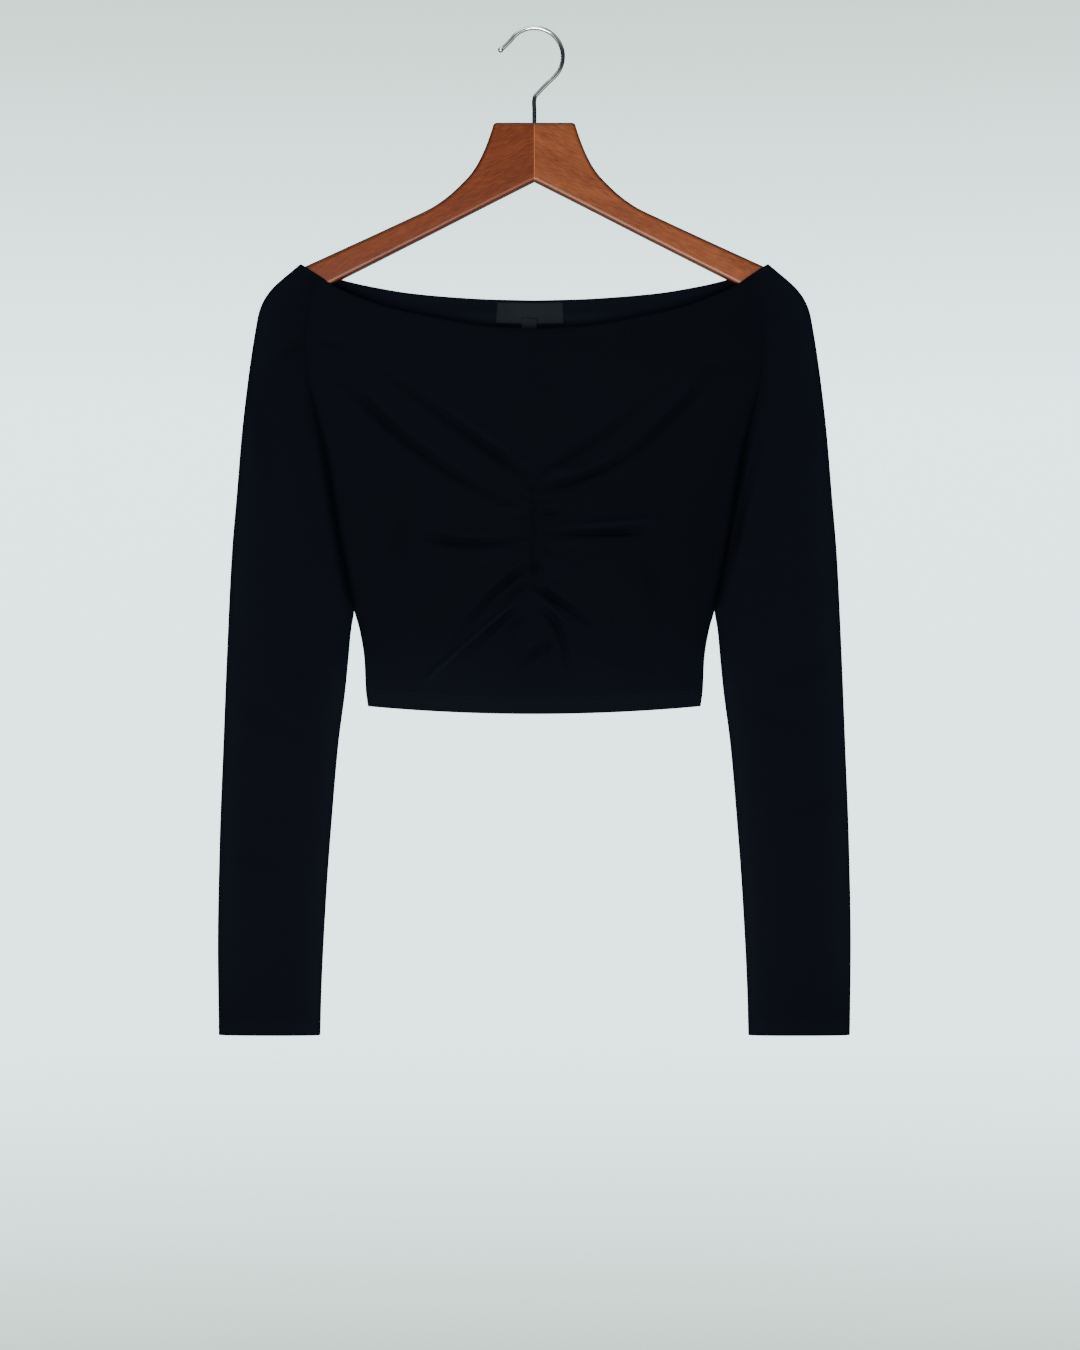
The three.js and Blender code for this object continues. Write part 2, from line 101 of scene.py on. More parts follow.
BACK_NECKLINE = table("x z", [
    (0, -242.4), (40, -241.5), (76, -239.4), (112, -236), (148, -230), (170, -225),
    (192, -218.1),
])
DEPTH = table("z seam front back sleeve", [
    (-211, 8.4, 8.6, 8.4, 8.5),
    (-240, 8.6, 9.2, 8.4, 8.8),
    (-283, 8.9, 10.8, 8.8, 9.4),
    (-305, 8.3, 11.4, 9.0, 9.6),
    (-345, 5.6, 12.2, 9.4, 9.8),
    (-450, 4.4, 13, 9.8, 9.6),
    (-500, 3.0, 12.8, 9.6, 9.2),
    (-523, 1.9, 12.5, 9.5, 9),
    (-545, 1.55, 12.2, 9.3, 9),
    (-616, 1.55, 11, 8.8, 8.8),
    (-760, 1.55, 11, 8.8, 8.2),
    (-904, 1.55, 11, 8.8, 7.6),
])

# Folds, each along a curve from its deep end (x0, z0) by (x1, z1) to where it fades
# (x2, z2). A negative depth is a ridge. lip is the height of the roll beside it, as a
# share of its depth: above the curve where positive and below it where negative.
FOLD_COLUMNS = "x0 z0 x1 z1 x2 z2 wide deep lip"
FRONT_FOLDS = [
    # drawn up and out from the top of the gathered line
    (-9, -400, -73, -356, -150, -294, 4.6, 3.0, 0.4),
    (-172, -314, -99, -397, -14, -428, 4.8, 3.4, 0.3),
    (8, -397, 66, -366, 120, -316, 4.6, 1.8, 0.3),
    (160, -304, 95, -393, 28, -408, 4.4, 2.4, 0.3),
    (12, -412, 40, -408, 84, -384, 3.8, 2.4, 0.4),
    (11, -399, 20, -398, 36, -393, 4.4, -2.0, 0),
    (6, -430, 14, -429, 27, -426, 3, -1.5, 0),
    (6, -435, 14, -435, 30, -434, 2.8, 1.5, 0),
    (-14, -431, -26, -431, -44, -430, 3, -1.1, 0),
    # level, across the middle
    (-96, -457, -50, -468, -4, -455, 4, 3.0, 0.2),
    (-56, -472, -36, -473, -14, -470, 6, -1.3, 0),
    (96, -452.5, 50, -455, 6, -453, 2.5, 3.2, 0),
    (108, -442, 62, -446, 20, -448, 4.2, -3.4, 0),
    (54, -463, 34, -462, 12, -461, 5, -1.0, 0),
    (9, -478, 12, -478, 18, -478, 5, -1.3, 0),
    (8, -466, 11, -466, 16, -466, 3.6, 1.0, 0),
    (0, -478, 0, -484, 0, -494, 4.5, 1.5, 0),
    (25, -484, 29, -484, 36, -485, 6, -0.8, 0),
    # fanned down and out from its lower end
    (-6, -484, -38, -500, -88, -570, 3.6, 2.6, 0.3),
    (-6, -496, -18, -508, -38, -518, 3, 2.0, 0.2),
    (-12, -514, -42, -534, -104, -592, 3.2, -3.0, 0),
    (-98, -588, -84, -574, -60, -552, 4.4, -2.0, 0),
    (-14, -518, -40, -541, -70, -570, 3.0, 2.6, 0),
    (-11, -527, -20, -535, -25, -554, 4, 1.8, 0),
    (1, -501, 26, -516, 60, -542, 3.2, 3.2, 0.3),
    (3, -510, 17, -522, 38, -542, 3.0, -2.6, 0),
    (9, -522, 30, -541, 30, -586, 3.4, 2.4, 0),
    (12, -549, 12, -556, 8, -563, 4, 2.2, 0),
    (8, -556, -2, -561, -17, -578, 3.6, 2.4, 0),
    (-5, -550, -3, -553, -3, -558, 6, -1.5, 0),
    (-1, -520, 1, -532, 0, -545, 8, -1.2, 0),
    # drag lines from the armholes, and slack over the waist
    (-198, -279, -180, -284, -156, -287, 4.5, 1.6, 0.2),
    (196, -300, 176, -306, 150, -306, 7, 1.2, 0.2),
    (96, -470, 112, -500, 112, -545, 8, 1.1, 0.2),
    (-116, -430, -126, -470, -120, -520, 9, 1.1, 0.2),
    (60, -560, 84, -566, 118, -584, 7, 1.0, 0),
]
BACK_FOLDS = [
    (-172, -296, -110, -330, -36, -350, 9, 2.0, 0.3),
    (174, -302, 120, -350, 56, -380, 9, 2.0, 0.3),
    (-158, -340, -110, -390, -60, -420, 9, 1.4, 0.3),
    (-152, -500, -100, -480, -36, -474, 8, 1.6, 0.3),
    (150, -520, 90, -506, 26, -512, 8, 1.6, 0.3),
    (150, -560, 80, -548, 10, -556, 9, 0.9, 0.3),
]
RIGHT_SLEEVE_FOLDS = [
    (176, -486, 187, -420, 212, -346, 3.4, 2.4, 0.3),
    (274, -560, 240, -585, 204, -590, 8, 0.8, 0.3),
    (182, -600, 214, -626, 262, -628, 9, 0.7, 0.3),
    (276, -690, 240, -706, 206, -704, 9, 0.8, 0.3),
    (262, -330, 246, -372, 232, -420, 9, 0.8, 0.2),
]
LEFT_SLEEVE_FOLDS = [
    (208, -282, 226, -290, 242, -303, 7, 1.3, 0.3),
    (272, -600, 236, -630, 202, -634, 8, 0.8, 0.3),
    (176, -560, 208, -586, 250, -586, 9, 0.7, 0.3),
    (278, -740, 246, -752, 208, -748, 9, 0.8, 0.3),
    (258, -320, 244, -380, 238, -440, 9, 0.8, 0.2),
]
SLEEVE_BACK_FOLDS = [
    (270, -575, 236, -600, 200, -604, 8, 1.4, 0.3),
    (178, -620, 210, -646, 256, -648, 9, 1.0, 0.3),
    (212, -340, 206, -400, 190, -470, 6, 1.4, 0.3),
]

# The gathered line down the middle of the front
GATHER_TOP, GATHER_BOTTOM = -402.0, -494.0
GATHER_DEEP, GATHER_WIDE = 0.8, 2.2
PUCKERS_A_SIDE = 11

# Stitching
STITCH = 2.3
STITCH_PITCH = 3.0
THREAD = 0.17
THREAD_SIDES = 6
HEM_ROWS_APART, CUFF_ROWS_APART = 3.2, 3.0  # between a band's two rows

# Cloth that a piece's texture covers, across and up; its UV counts in centimetres
FRONT_SPREAD, BACK_SPREAD, SLEEVE_SPREAD = (400, 400), (400, 390), (200, 700)
UV_STEP = 10.0

# Label and size tab on the inside of the back
LABEL = dict(left=-34, right=26, top=-244.4, bottom=-264)
TAB = dict(left=-11.5, right=2.5, top=-258.5, bottom=-275.5)
TAB_OVER = 1.3  # how far in the tab lies, over the label
LABEL_THICK = 0.6
LABEL_CLEAR = 0.3

# Hanger and hook
WOOD_THICK = 12.0
WOOD_ROUND = 2.2
WOOD_BEVEL = 3.3  # how far in over the face the rounding starts
JOINT_LINE = 0.3  # half the width of the glue line between the halves
NECK_TOP_Z = -84.2
NECK_HALF = 36.6
NECK_CORNER = 4.0
NECK_SIDE = table("z x", [(-88.2, 37.4), (-103, 42.5), (-119.5, 50), (-131, 57.6), (-141, 67)])
ARM_TOP = table("x z", [
    (67, -141), (76, -149.2), (85, -156), (94, -161.6), (112, -170.2), (212.6, -216.5),
])
UNDERSIDE = table("x z", [(0, -136.4), (40, -156.6), (94, -184.2), (202.2, -238.9)])
NOSE_X, NOSE_Z, NOSE_RADIUS = 207.4, -227.7, 12.4
WIRE = 3.8  # thickness
WIRE_SIDES = 20
WIRE_STEPS = 240
HOOK_RADIUS = 25.7
HOOK_BEND_Z = -60.4
SHANK_DEEP = 18.0  # how far the wire goes into the wood
BEAD_RADIUS = 2.5

# Finish of the wood, its two tones for each half from dark to light
GRAIN_SLOPE = math.radians(25.5)
WOOD_LEFT = ((0.068, 0.0098, 0.0012), (0.150, 0.031, 0.0046))
WOOD_RIGHT = ((0.100, 0.0197, 0.0050), (0.219, 0.0615, 0.0175))
GLUE_LINE = (0.33, 0.105, 0.022)
# painted shade for the rounded edges that face up and for the underside
PAINTED_EDGE_SHADE = (0.022, 0.0050, 0.0020)

# Studio
FLOOR_Z = -1620.0
FLOOR_RADIUS = 1550.0
FLOOR_FADE = (0.35, 1.5)  # metres from its middle, from solid to see-through
LIGHT_TARGET = (0, 0, -0.45)
LIGHTS = [
    # name, place, size, watts, tint, mirrored in gloss
    ("key_light", (-0.25, -2.5, -1.05), 1.5, 95, (1.0, 0.985, 0.96), True),
    ("fill_light", (2.0, -2.1, -0.7), 1.8, 20, (0.94, 0.97, 1.0), False),
    ("top_light", (-0.3, -0.9, 1.7), 1.4, 14, (1.0, 0.98, 0.95), True),
    ("rim_light_left", (-1.4, 2.0, -0.2), 1.4, 150, (1.0, 0.99, 0.97), False),
    ("rim_light_right", (1.4, 2.0, -0.2), 1.4, 150, (1.0, 0.99, 0.97), False),
]
# Colour of the room's light by direction, from straight down (0) to straight up (1)
ROOM_LIGHT = [
    (0.001, 0.78, 0.80, 0.82), (0.30, 0.73, 0.75, 0.77), (0.44, 0.10, 0.11, 0.12),
    (0.56, 0.020, 0.026, 0.032), (0.69, 0.030, 0.036, 0.042), (0.80, 0.48, 0.50, 0.52),
    (0.999, 0.56, 0.58, 0.60),
]
# Colour of the pale surround by direction: a little darker above and below
WALL_COLOUR = [
    (0.001, 0.30, 0.35, 0.34), (0.30, 0.30, 0.35, 0.34), (0.375, 0.345, 0.43, 0.385),
    (0.43, 0.75, 0.97, 0.97), (0.55, 0.77, 0.99, 0.99), (0.625, 0.39, 0.485, 0.445),
    (0.999, 0.39, 0.485, 0.445),
]

# The photograph's frame: this many millimetres high at the cloth, centred here
FRAME_HEIGHT = 1215.0
FRAME_CENTRE_X, FRAME_CENTRE_Z = 5.1, -580.5
LENS = 70.0
SENSOR = 36.0


def cubic(at, value, slope, t):
    """The cubic through values at places along a line, with given slopes there."""
    i = np.clip(np.searchsorted(at, t, side="right") - 1, 0, len(at) - 2)
    span = at[i + 1] - at[i]
    s = (t - at[i]) / span
    ends = value[i] * (1 + 2 * s) * (1 - s) ** 2 + value[i + 1] * s**2 * (3 - 2 * s)
    return ends + span * (slope[i] * s * (1 - s) ** 2 - slope[i + 1] * s**2 * (1 - s))


def smooth(rows, along, column):
    """Monotone cubic through a column of a table: the slope at a row is the harmonic mean
    of the slopes on its two sides, or level where they differ in sign."""
    order = np.argsort(rows[along])
    at, value = rows[along][order], rows[column][order]
    secant = np.diff(value) / np.diff(at)
    before, after = secant[:-1], secant[1:]
    agree = before * after > 0
    middle = np.where(agree, 2 * before * after / np.where(agree, before + after, 1), 0)
    slope = np.concatenate([secant[:1], middle, secant[-1:]])

    def value_at(t):
        return cubic(at, value, slope, np.clip(t, at[0], at[-1]))

    return value_at


body_edge = smooth(BODY_EDGE, "z", "x")
sleeve_inner = smooth(SLEEVE_INNER, "z", "x")
sleeve_outer = smooth(SLEEVE_OUTER, "z", "x")
front_neckline = smooth(FRONT_NECKLINE, "x", "z")
back_neckline = smooth(BACK_NECKLINE, "x", "z")
seam_depth = smooth(DEPTH, "z", "seam")
front_depth = smooth(DEPTH, "z", "front")
back_depth = smooth(DEPTH, "z", "back")
sleeve_depth = smooth(DEPTH, "z", "sleeve")


def mix(a, b, t):
    """a where t is 0 and b where t is 1."""
    return a + (b - a) * t


def ramp(start, end, t):
    """0 before start, 1 after end, and a smooth step between them."""
    s = np.clip((t - start) / (end - start), 0, 1)
    return s * s * (3 - 2 * s)


def bell(distance, width):
    """1 at no distance, about a third at one width, and soon nothing."""
    return np.exp(-((distance / width) ** 2))


def fold_relief(folds, x, z):
    """How far folds press the cloth in at (x, z). Each is a bell across its quadratic
    curve, narrowing along it, with a lower bell beside it as its lip. It deepens over the
    first quarter of the curve and fades as one less the square of the way along."""
    steps = np.linspace(0, 1, 33)
    rows = table(FOLD_COLUMNS, folds)
    relief = np.zeros_like(x)
    for k in range(len(folds)):
        f = {name: rows[name][k] for name in rows}
        px = (1 - steps) ** 2 * f["x0"] + 2 * steps * (1 - steps) * f["x1"] + steps**2 * f["x2"]
        pz = (1 - steps) ** 2 * f["z0"] + 2 * steps * (1 - steps) * f["z1"] + steps**2 * f["z2"]
        tx, tz = np.gradient(px), np.gradient(pz)
        pace = np.hypot(tx, tz)
        tx, tz = tx / pace, tz / pace
        away = (x[..., None] - px) ** 2 + (z[..., None] - pz) ** 2
        near = away.argmin(-1)
        dx, dz = x - px[near], z - pz[near]
        forward = dx * tx[near] + dz * tz[near]
        across = dz * tx[near] - dx * tz[near]
        across = across * (1 if f["x2"] >= f["x0"] else -1)
        beyond = np.where(near == 0, np.minimum(forward, 0), 0)
        beyond = np.where(near == len(steps) - 1, np.maximum(forward, 0), beyond)
        along = np.clip(steps[near] + forward / pace[near] * steps[1], 0, 1)
        strength = f["deep"] * (1 - along**2) * (0.35 + 0.65 * ramp(0, 0.25, along))
        strength = strength * bell(beyond, f["wide"])
        wide = f["wide"] * (1.1 - 0.4 * along)
        lip = abs(f["lip"]) * bell(across - np.sign(f["lip"]) * 1.8 * wide, 1.2 * wide)
        relief += strength * (bell(across, wide) - lip)
    return relief


def centre_puckers():
    """Rows of a fold table for the short puckers that the gathered line draws up. They
    point up and out above its middle and down and out below it, and their spacing, length
    and depth swing with sines of their number."""
    rows = []
    for side in (-1, 1):
        for k in range(PUCKERS_A_SIDE):
            share = (k + 0.5) / PUCKERS_A_SIDE
            start = mix(GATHER_TOP, GATHER_BOTTOM, share) + 2.4 * math.sin(2.3 * k + side)
            angle = math.radians(mix(40, -48, share) + 9 * math.sin(1.9 * k + 2 * side))
            reach = 9 + 11 * math.sin(1.3 * k + 0.8 * side) ** 2
            deep = 0.35 + 0.5 * math.sin(2.9 * k + 1.1 * side) ** 2
            across, rise = side * math.cos(angle), math.sin(angle)
            rows.append((
                side * 1.2, start,
                side * 1.2 + 0.5 * reach * across, start + 0.42 * reach * rise,
                side * 1.2 + reach * across, start + reach * rise,
                2.3, deep, 0.5,
            ))
    return rows


def gather_line(x, z):
    """A narrow groove down the gathered line, fading over its two ends."""
    above_end = ramp(GATHER_BOTTOM - 12, GATHER_BOTTOM + 10, z)
    below_start = ramp(GATHER_TOP + 10, GATHER_TOP - 14, z)
    return above_end * below_start * GATHER_DEEP * bell(x, GATHER_WIDE)


def soft_waves(x, z, seed):
    """The slow unevenness of hanging cloth: a few crossing sine waves 60 to 200 mm long."""
    total = np.zeros_like(x)
    for k, (length, turn) in enumerate([(190, 0.3), (120, 1.25), (83, 2.2), (61, 0.8)]):
        along = x * math.cos(turn + seed) + z * math.sin(turn + seed)
        total += np.sin(2 * math.pi * along / length + 1.7 * k + 2.1 * seed) * length / 520
    return total


def band(distance, width, waviness_along):
    """A turned-up band of cloth: stands proud as far as its stitching, where it is drawn
    in, and ripples a little along the stitches. distance is from the edge."""
    raised = BAND_RAISE * (1 - ramp(width - 0.5, width + 2.0, distance))
    drawn = 0.3 * bell(distance - width + 1.5, 1.3)
    ripple = 0.07 * np.sin(2 * math.pi * waviness_along / 7.3) * bell(distance - width + 1, 4)
    return drawn + ripple - raised


def unit(vectors):
    """Vectors of the same directions, one long."""
    return vectors / np.maximum(np.linalg.norm(vectors, axis=-1, keepdims=True), 1e-9)


def normals_of(grid):
    """Unit normals of a grid of points, from the cross product of its two directions."""
    return unit(np.cross(np.gradient(grid, axis=1), np.gradient(grid, axis=0)))


def share_out(count, low, high, closeness=0.0, period=2.0, centre=0.0):
    """count + 1 values from low to high whose spacing is one less closeness times a cosine
    with its peak at centre."""
    t = np.linspace(low, high, count + 1)
    k = 2 * math.pi / period
    eased = t - closeness / k * np.sin(k * (t - centre))
    return mix(low, high, (eased - eased[0]) / (eased[-1] - eased[0]))


def new_object(name, points, faces, material, uv=None, painted_shading=None):
    """A mesh object in metres from points in millimetres, at the origin. The last argument
    gives, point by point, the painted light and shade of the cloth's colour, a half being
    none."""
    mesh = bpy.data.meshes.new(name)
    mesh.from_pydata((points * MM).tolist(), [], faces)
    mesh.update()
    if uv is not None:
        corners = np.empty(len(mesh.loops), np.int32)
        mesh.loops.foreach_get("vertex_index", corners)
        layer = mesh.uv_layers.new(name="cloth")
        layer.data.foreach_set("uv", uv[corners].astype(np.float32).ravel())
    if painted_shading is not None:
        attribute = mesh.attributes.new("painted_shading", "FLOAT", "POINT")
        attribute.data.foreach_set("value", painted_shading.astype(np.float32).ravel())
    mesh.shade_smooth()
    mesh.materials.append(material)
    piece = bpy.data.objects.new(name, mesh)
    bpy.context.collection.objects.link(piece)
    return piece


def assign(piece, stands_for=None):
    """Fixes a piece to the part's one body and the solid it shows."""
    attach(piece, "root")
    if stands_for:
        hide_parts(stands_for)
    return piece


def quads(ring_count, side_count, closed_rings, closed_sides=False):
    """Faces of a grid of points, row after row."""
    rows = np.arange(ring_count if closed_rings else ring_count - 1)
    sides = np.arange(side_count if closed_sides else side_count - 1)
    j, i = np.meshgrid(rows, sides, indexing="ij")
    nj, ni = (j + 1) % ring_count, (i + 1) % side_count
    corners = [j * side_count + i, j * side_count + ni, nj * side_count + ni, nj * side_count + i]
    return np.stack([c.ravel() for c in corners], axis=1)


def seam_sides(rows, sides, last):
    """Faces that close the two sides of a shell whose rows run up its outer face and back
    down its inner face, where last is the inner row behind the first outer row."""
    faces = []
    for side, flip in ((0, True), (sides - 1, False)):
        for j in range(rows - 1):
            face = [row * sides + side for row in (j, last - j, last - j - 1, j + 1)]
            faces.append(face[::-1] if flip else face)
    return faces


def cloth_shell(name, outer, painted_shading, material, stands_for, lengths):
    """A closed shell of cloth. Its outer face is the grid; the inner face lies one
    thickness in along the normals, and a half round joins them at the lower and upper
    edges. Rows run round the shell: up the outer face, over, down the inner face. The two
    sides, which lie in seams, are square."""
    normal = normals_of(outer)
    normal[:, 0] = normal[:, 0] * [0, 1, 0]
    normal[:, -1] = normal[:, -1] * [0, 1, 0]
    normal[0, :, 2] = 0
    inner = outer - unit(normal) * CLOTH
    down = unit(outer[0] - outer[1])
    up = unit(outer[-1] - outer[-2])
    middle_low = (outer[0] + inner[0]) / 2 + down * CLOTH * 0.35
    middle_high = (outer[-1] + inner[-1]) / 2 + up * CLOTH * 0.35
    rings = np.concatenate([outer, middle_high[None], inner[::-1], middle_low[None]])
    count, sides = rings.shape[:2]
    rows = outer.shape[0]
    v = np.linspace(0, lengths[1], rows)
    ring_v = np.concatenate([v, [lengths[1]], v[::-1], [0]])
    u = np.linspace(0, lengths[0], sides)
    uv = np.stack(np.broadcast_arrays(u[None], ring_v[:, None]), axis=2)
    uv = uv.reshape(-1, 2) / UV_STEP
    down_in = up_to_edge(outer)
    # Painted light and shade of each shell's inner face: lighter near its upper edge, and lighter
    # again from about 8 to 60 mm down, against the shade the front casts on the back's inner face;
    # the top rim is painted lighter too.
    inner_painted_shading = 0.54 + 0.2 * ramp(20, 0, down_in)
    inner_painted_shading += 0.46 * ramp(8, 20, down_in) * ramp(60, 40, down_in)
    painted_shading = np.concatenate([painted_shading, painted_shading[-1:] + 0.1, inner_painted_shading[::-1], painted_shading[:1]])
    faces = quads(count, sides, True).tolist()
    faces += seam_sides(rows, sides, count - 2)
    for side, flip in ((0, True), (sides - 1, False)):
        for rim, high in (((rows - 1, rows, rows + 1), True), ((0, count - 1, count - 2), False)):
            face = [row * sides + side for row in rim]
            faces.append(face if high != flip else face[::-1])
    piece = new_object(name, rings.reshape(-1, 3), faces, material, uv, np.clip(painted_shading, 0, 1))
    ends = np.empty(len(piece.data.edges) * 2, np.int32)
    piece.data.edges.foreach_get("vertices", ends)
    column = ends.reshape(-1, 2) % sides
    along_seam = (column == 0).all(axis=1) | (column == sides - 1).all(axis=1)
    sharp = piece.data.attributes.new("sharp_edge", "BOOLEAN", "EDGE")
    sharp.data.foreach_set("value", along_seam)
    return assign(piece, stands_for)


def up_to_edge(grid):
    """Distance of each point of a grid from the grid's upper edge, up its column."""
    step = np.linalg.norm(np.diff(grid, axis=0), axis=2)
    from_top = np.cumsum(step[::-1], axis=0)[::-1]
    return np.concatenate([from_top, np.zeros((1, grid.shape[1]))])


def panel(u, v, neckline, depth, facing, relief, seed):
    """Outer face of a body panel and its painted light and shade. u runs between the side edges
    (-1 to 1) and v from the hem (0) to the neckline (1). Its distance from the middle plane is
    that of the seams at its edges and full over its middle, less the folds. Its colour is
    painted lighter on ridges, towards the hem, on the hem band and at the sides near the hem,
    and painted darker in valleys, along the armholes, across the middle height and towards +x."""
    top_z = neckline(abs(u) * ARMHOLE_TOP_X)
    edge_z = mix(HEM_Z, neckline(ARMHOLE_TOP_X), v)
    x = u * body_edge(edge_z)
    hem_z = HEM_Z - HEM_DROP * (1 - u * u)
    z = mix(hem_z, top_z, v)
    crown = np.maximum(1 - abs(u) ** 4, 0) ** 0.6
    inset = (1 - abs(u)) * body_edge(edge_z)
    away_from_seams = 1 - abs(u) ** 8
    folded = relief(x, z) * away_from_seams
    pressed = folded + 0.8 * soft_waves(x, z, seed) * away_from_seams
    pressed += band(z - hem_z, HEM_BAND, x)
    pressed += band(top_z - z, NECK_BAND, x) * 0.6
    pressed += seam_dip(inset, z)
    full = mix(seam_depth(edge_z), depth(z), crown) - pressed
    full = np.maximum(full, LEAST_DEPTH)
    from_hem = z - hem_z
    # Painted light and shade: darker towards +x, in folds, along the armholes and across the middle
    # height; lighter on ridges, towards the hem, on the hem band and at the sides near the hem.
    painted_shading = 0.47 - 0.05 * u - fold_shade(folded)
    painted_shading += 0.15 * ramp(85, 10, from_hem) + 0.1 * ramp(HEM_BAND + 1, HEM_BAND - 1, from_hem)
    painted_shading -= SEAM_SHADE * bell(inset, 3.8) * seam_shadow(z)
    painted_shading -= 0.05 * bell(z + 455, 70)
    painted_shading += 0.16 * np.exp(-inset / 9) * ramp(-540, -570, z)
    return np.stack([x, facing * full, z], axis=2), painted_shading


def seam_shadow(z):
    """How deep the armhole's crease is: full from mid height down to the underarm, slight
    over the shoulder."""
    return 0.04 + 0.96 * ramp(-305, -400, z) * ramp(-535, -505, z) - 0.04 * ramp(-530, -545, z)


def seam_dip(distance, z):
    """How far the armhole's crease draws the cloth in, beside it and up to the underarm."""
    return SEAM_DIP * bell(distance, SEAM_SOFT) * seam_shadow(z) * ramp(-530, -500, z)


def fold_shade(folded):
    """Painted shade in a fold, or painted highlight on a ridge."""
    return FOLD_SHADE * np.clip(folded, -2.5, 2.8)


def grid_of(u, v):
    return np.meshgrid(u, v, indexing="xy")


def front_grid():
    u = share_out(FRONT_GRID[0], -1, 1, 0.3, 1, 0)
    v = share_out(FRONT_GRID[1], 0, 1, 0.25, 1, 0.38)
    folds = FRONT_FOLDS + centre_puckers()

    def relief(x, z):
        return fold_relief(folds, x, z) + gather_line(x, z)

    return panel(*grid_of(u, v), front_neckline, front_depth, -1, relief, FRONT_WAVES)


def back_relief(x, z):
    return fold_relief(BACK_FOLDS, x, z)


def back_grid():
    u = share_out(BACK_GRID[0], -1, 1, 0.3, 1, 0)
    v = share_out(BACK_GRID[1], 0, 1)
    return panel(*grid_of(-u, v), back_neckline, back_depth, 1, back_relief, BACK_WAVES)


def tube_outline(turn, squareness):
    """Outline of a flattened tube, a superellipse: turn 0 is its inner edge and 1 its
    outer edge. Gives the share of its width and the share of its depth."""
    angle = math.pi * turn
    power = 2 / squareness
    cosine = np.cos(angle)
    across = (1 - np.sign(cosine) * np.abs(cosine) ** power) / 2
    full = np.maximum(np.sin(angle), 0) ** power
    return across, full


def sleeve_grid(folds, seed):
    """Outer face of the right sleeve and its painted light and shade. u runs from the front
    seam (-1) round the outer edge (0) to the back seam (1), v from the cuff (0) by the highest
    level section (1) to the neckline (2), which climbs over the hanger's end. Its colour is
    painted lighter towards the outer and inner edges, on ridges and on the cuff band, and
    painted darker in folds, along the armhole, towards the cuff and near the top."""
    u = share_out(SLEEVE_GRID[0], -1, 1)
    climb = np.linspace(1, 2, SHOULDER_ROWS + 1)[1:]
    v = np.concatenate([share_out(SLEEVE_GRID[1], 0, 1, 0.35, 2, 1), climb])
    u, v = grid_of(u, v)
    front = u < 0
    facing = np.where(front, -1.0, 1.0)
    z = mix(CUFF_Z, SHOULDER_Z, np.minimum(v, 1))
    squareness = mix(2.5, 3.6, ramp(-330, -240, z))
    across, full = tube_outline(1 - abs(u), squareness)
    inner = np.where(z > UNDERARM_Z, body_edge(z), sleeve_inner(z))
    inner_half = across < 0.5
    x = mix(inner, sleeve_outer(z), across)
    rim = np.minimum(full * 2, 1)
    folded = np.where(front, fold_relief(folds, x, z), fold_relief(SLEEVE_BACK_FOLDS, x, z))
    folded = folded * rim
    pressed = folded + 0.7 * soft_waves(x, z, seed) * rim * ramp(-240, -290, z)
    pressed += band(z - CUFF_Z, CUFF_BAND, x) * rim
    pressed += seam_dip(x - inner, z) * inner_half
    depth = mix(np.where(inner_half, seam_depth(z), 0), sleeve_depth(z), full) - pressed
    depth = np.where(inner_half, np.maximum(depth, LEAST_DEPTH), np.maximum(depth, 0))
    level = np.stack([x, facing * depth, z], axis=2)
    start = np.where(front, front_neckline(ARMHOLE_TOP_X), back_neckline(ARMHOLE_TOP_X))
    edge_depth = mix(np.where(inner_half, seam_depth(start), 0), sleeve_depth(PEAK_Z), full)
    neckline = np.stack([
        mix(ARMHOLE_TOP_X, PEAK_X, across), facing * edge_depth, mix(start, PEAK_Z, across),
    ], axis=2)
    rise = np.maximum(v - 1, 0)[..., None]
    grid = mix(level, neckline, rise)
    # Painted light and shade: lighter on ridges, towards the outer and inner edges and on the cuff
    # band; darker in folds, along the armhole, towards the cuff and near the top.
    painted_shading = 0.52 - fold_shade(folded)
    painted_shading += 0.42 * np.exp(-(sleeve_outer(z) - x) / 15) * ramp(-980, -820, z)
    painted_shading += 0.42 * np.exp(-(x - inner) / 11) * ramp(-540, -600, z) * ramp(-1010, -860, z)
    painted_shading -= SEAM_SHADE * bell(x - inner, 6) * seam_shadow(z) * ramp(-560, -520, z)
    painted_shading += 0.08 * ramp(CUFF_Z + CUFF_BAND + 1, CUFF_Z + CUFF_BAND - 1, z)
    painted_shading -= 0.06 * ramp(-780, -900, z) + 0.05 * ramp(-420, -300, z)
    return soften_rows(grid), painted_shading


def soften_rows(grid):
    """Averages each row near the shoulder with its neighbours above and below, so that the
    level sections run into the climb to the neckline without a crease."""
    weight = (ramp(-262, -236, grid[1:-1, :, 2]) * 0.5)[..., None]
    for _ in range(SHOULDER_SMOOTHINGS):
        mean = (grid[:-2] + grid[2:]) / 2
        grid[1:-1] = mix(grid[1:-1], mean, weight)
    return grid


def mirrored(grid):
    """The same grid on the other side, still seen from outside from left to right."""
    return grid[:, ::-1] * [-1, 1, 1]


def distance_along(path):
    """How far along a line of points each point lies."""
    return np.concatenate([[0], np.cumsum(np.linalg.norm(np.diff(path, axis=0), axis=1))])


def at_distance(at, run, values):
    """Columns of values, known at distances run along a path, read off at others."""
    return np.stack([np.interp(at, run, column) for column in values.T], axis=1)


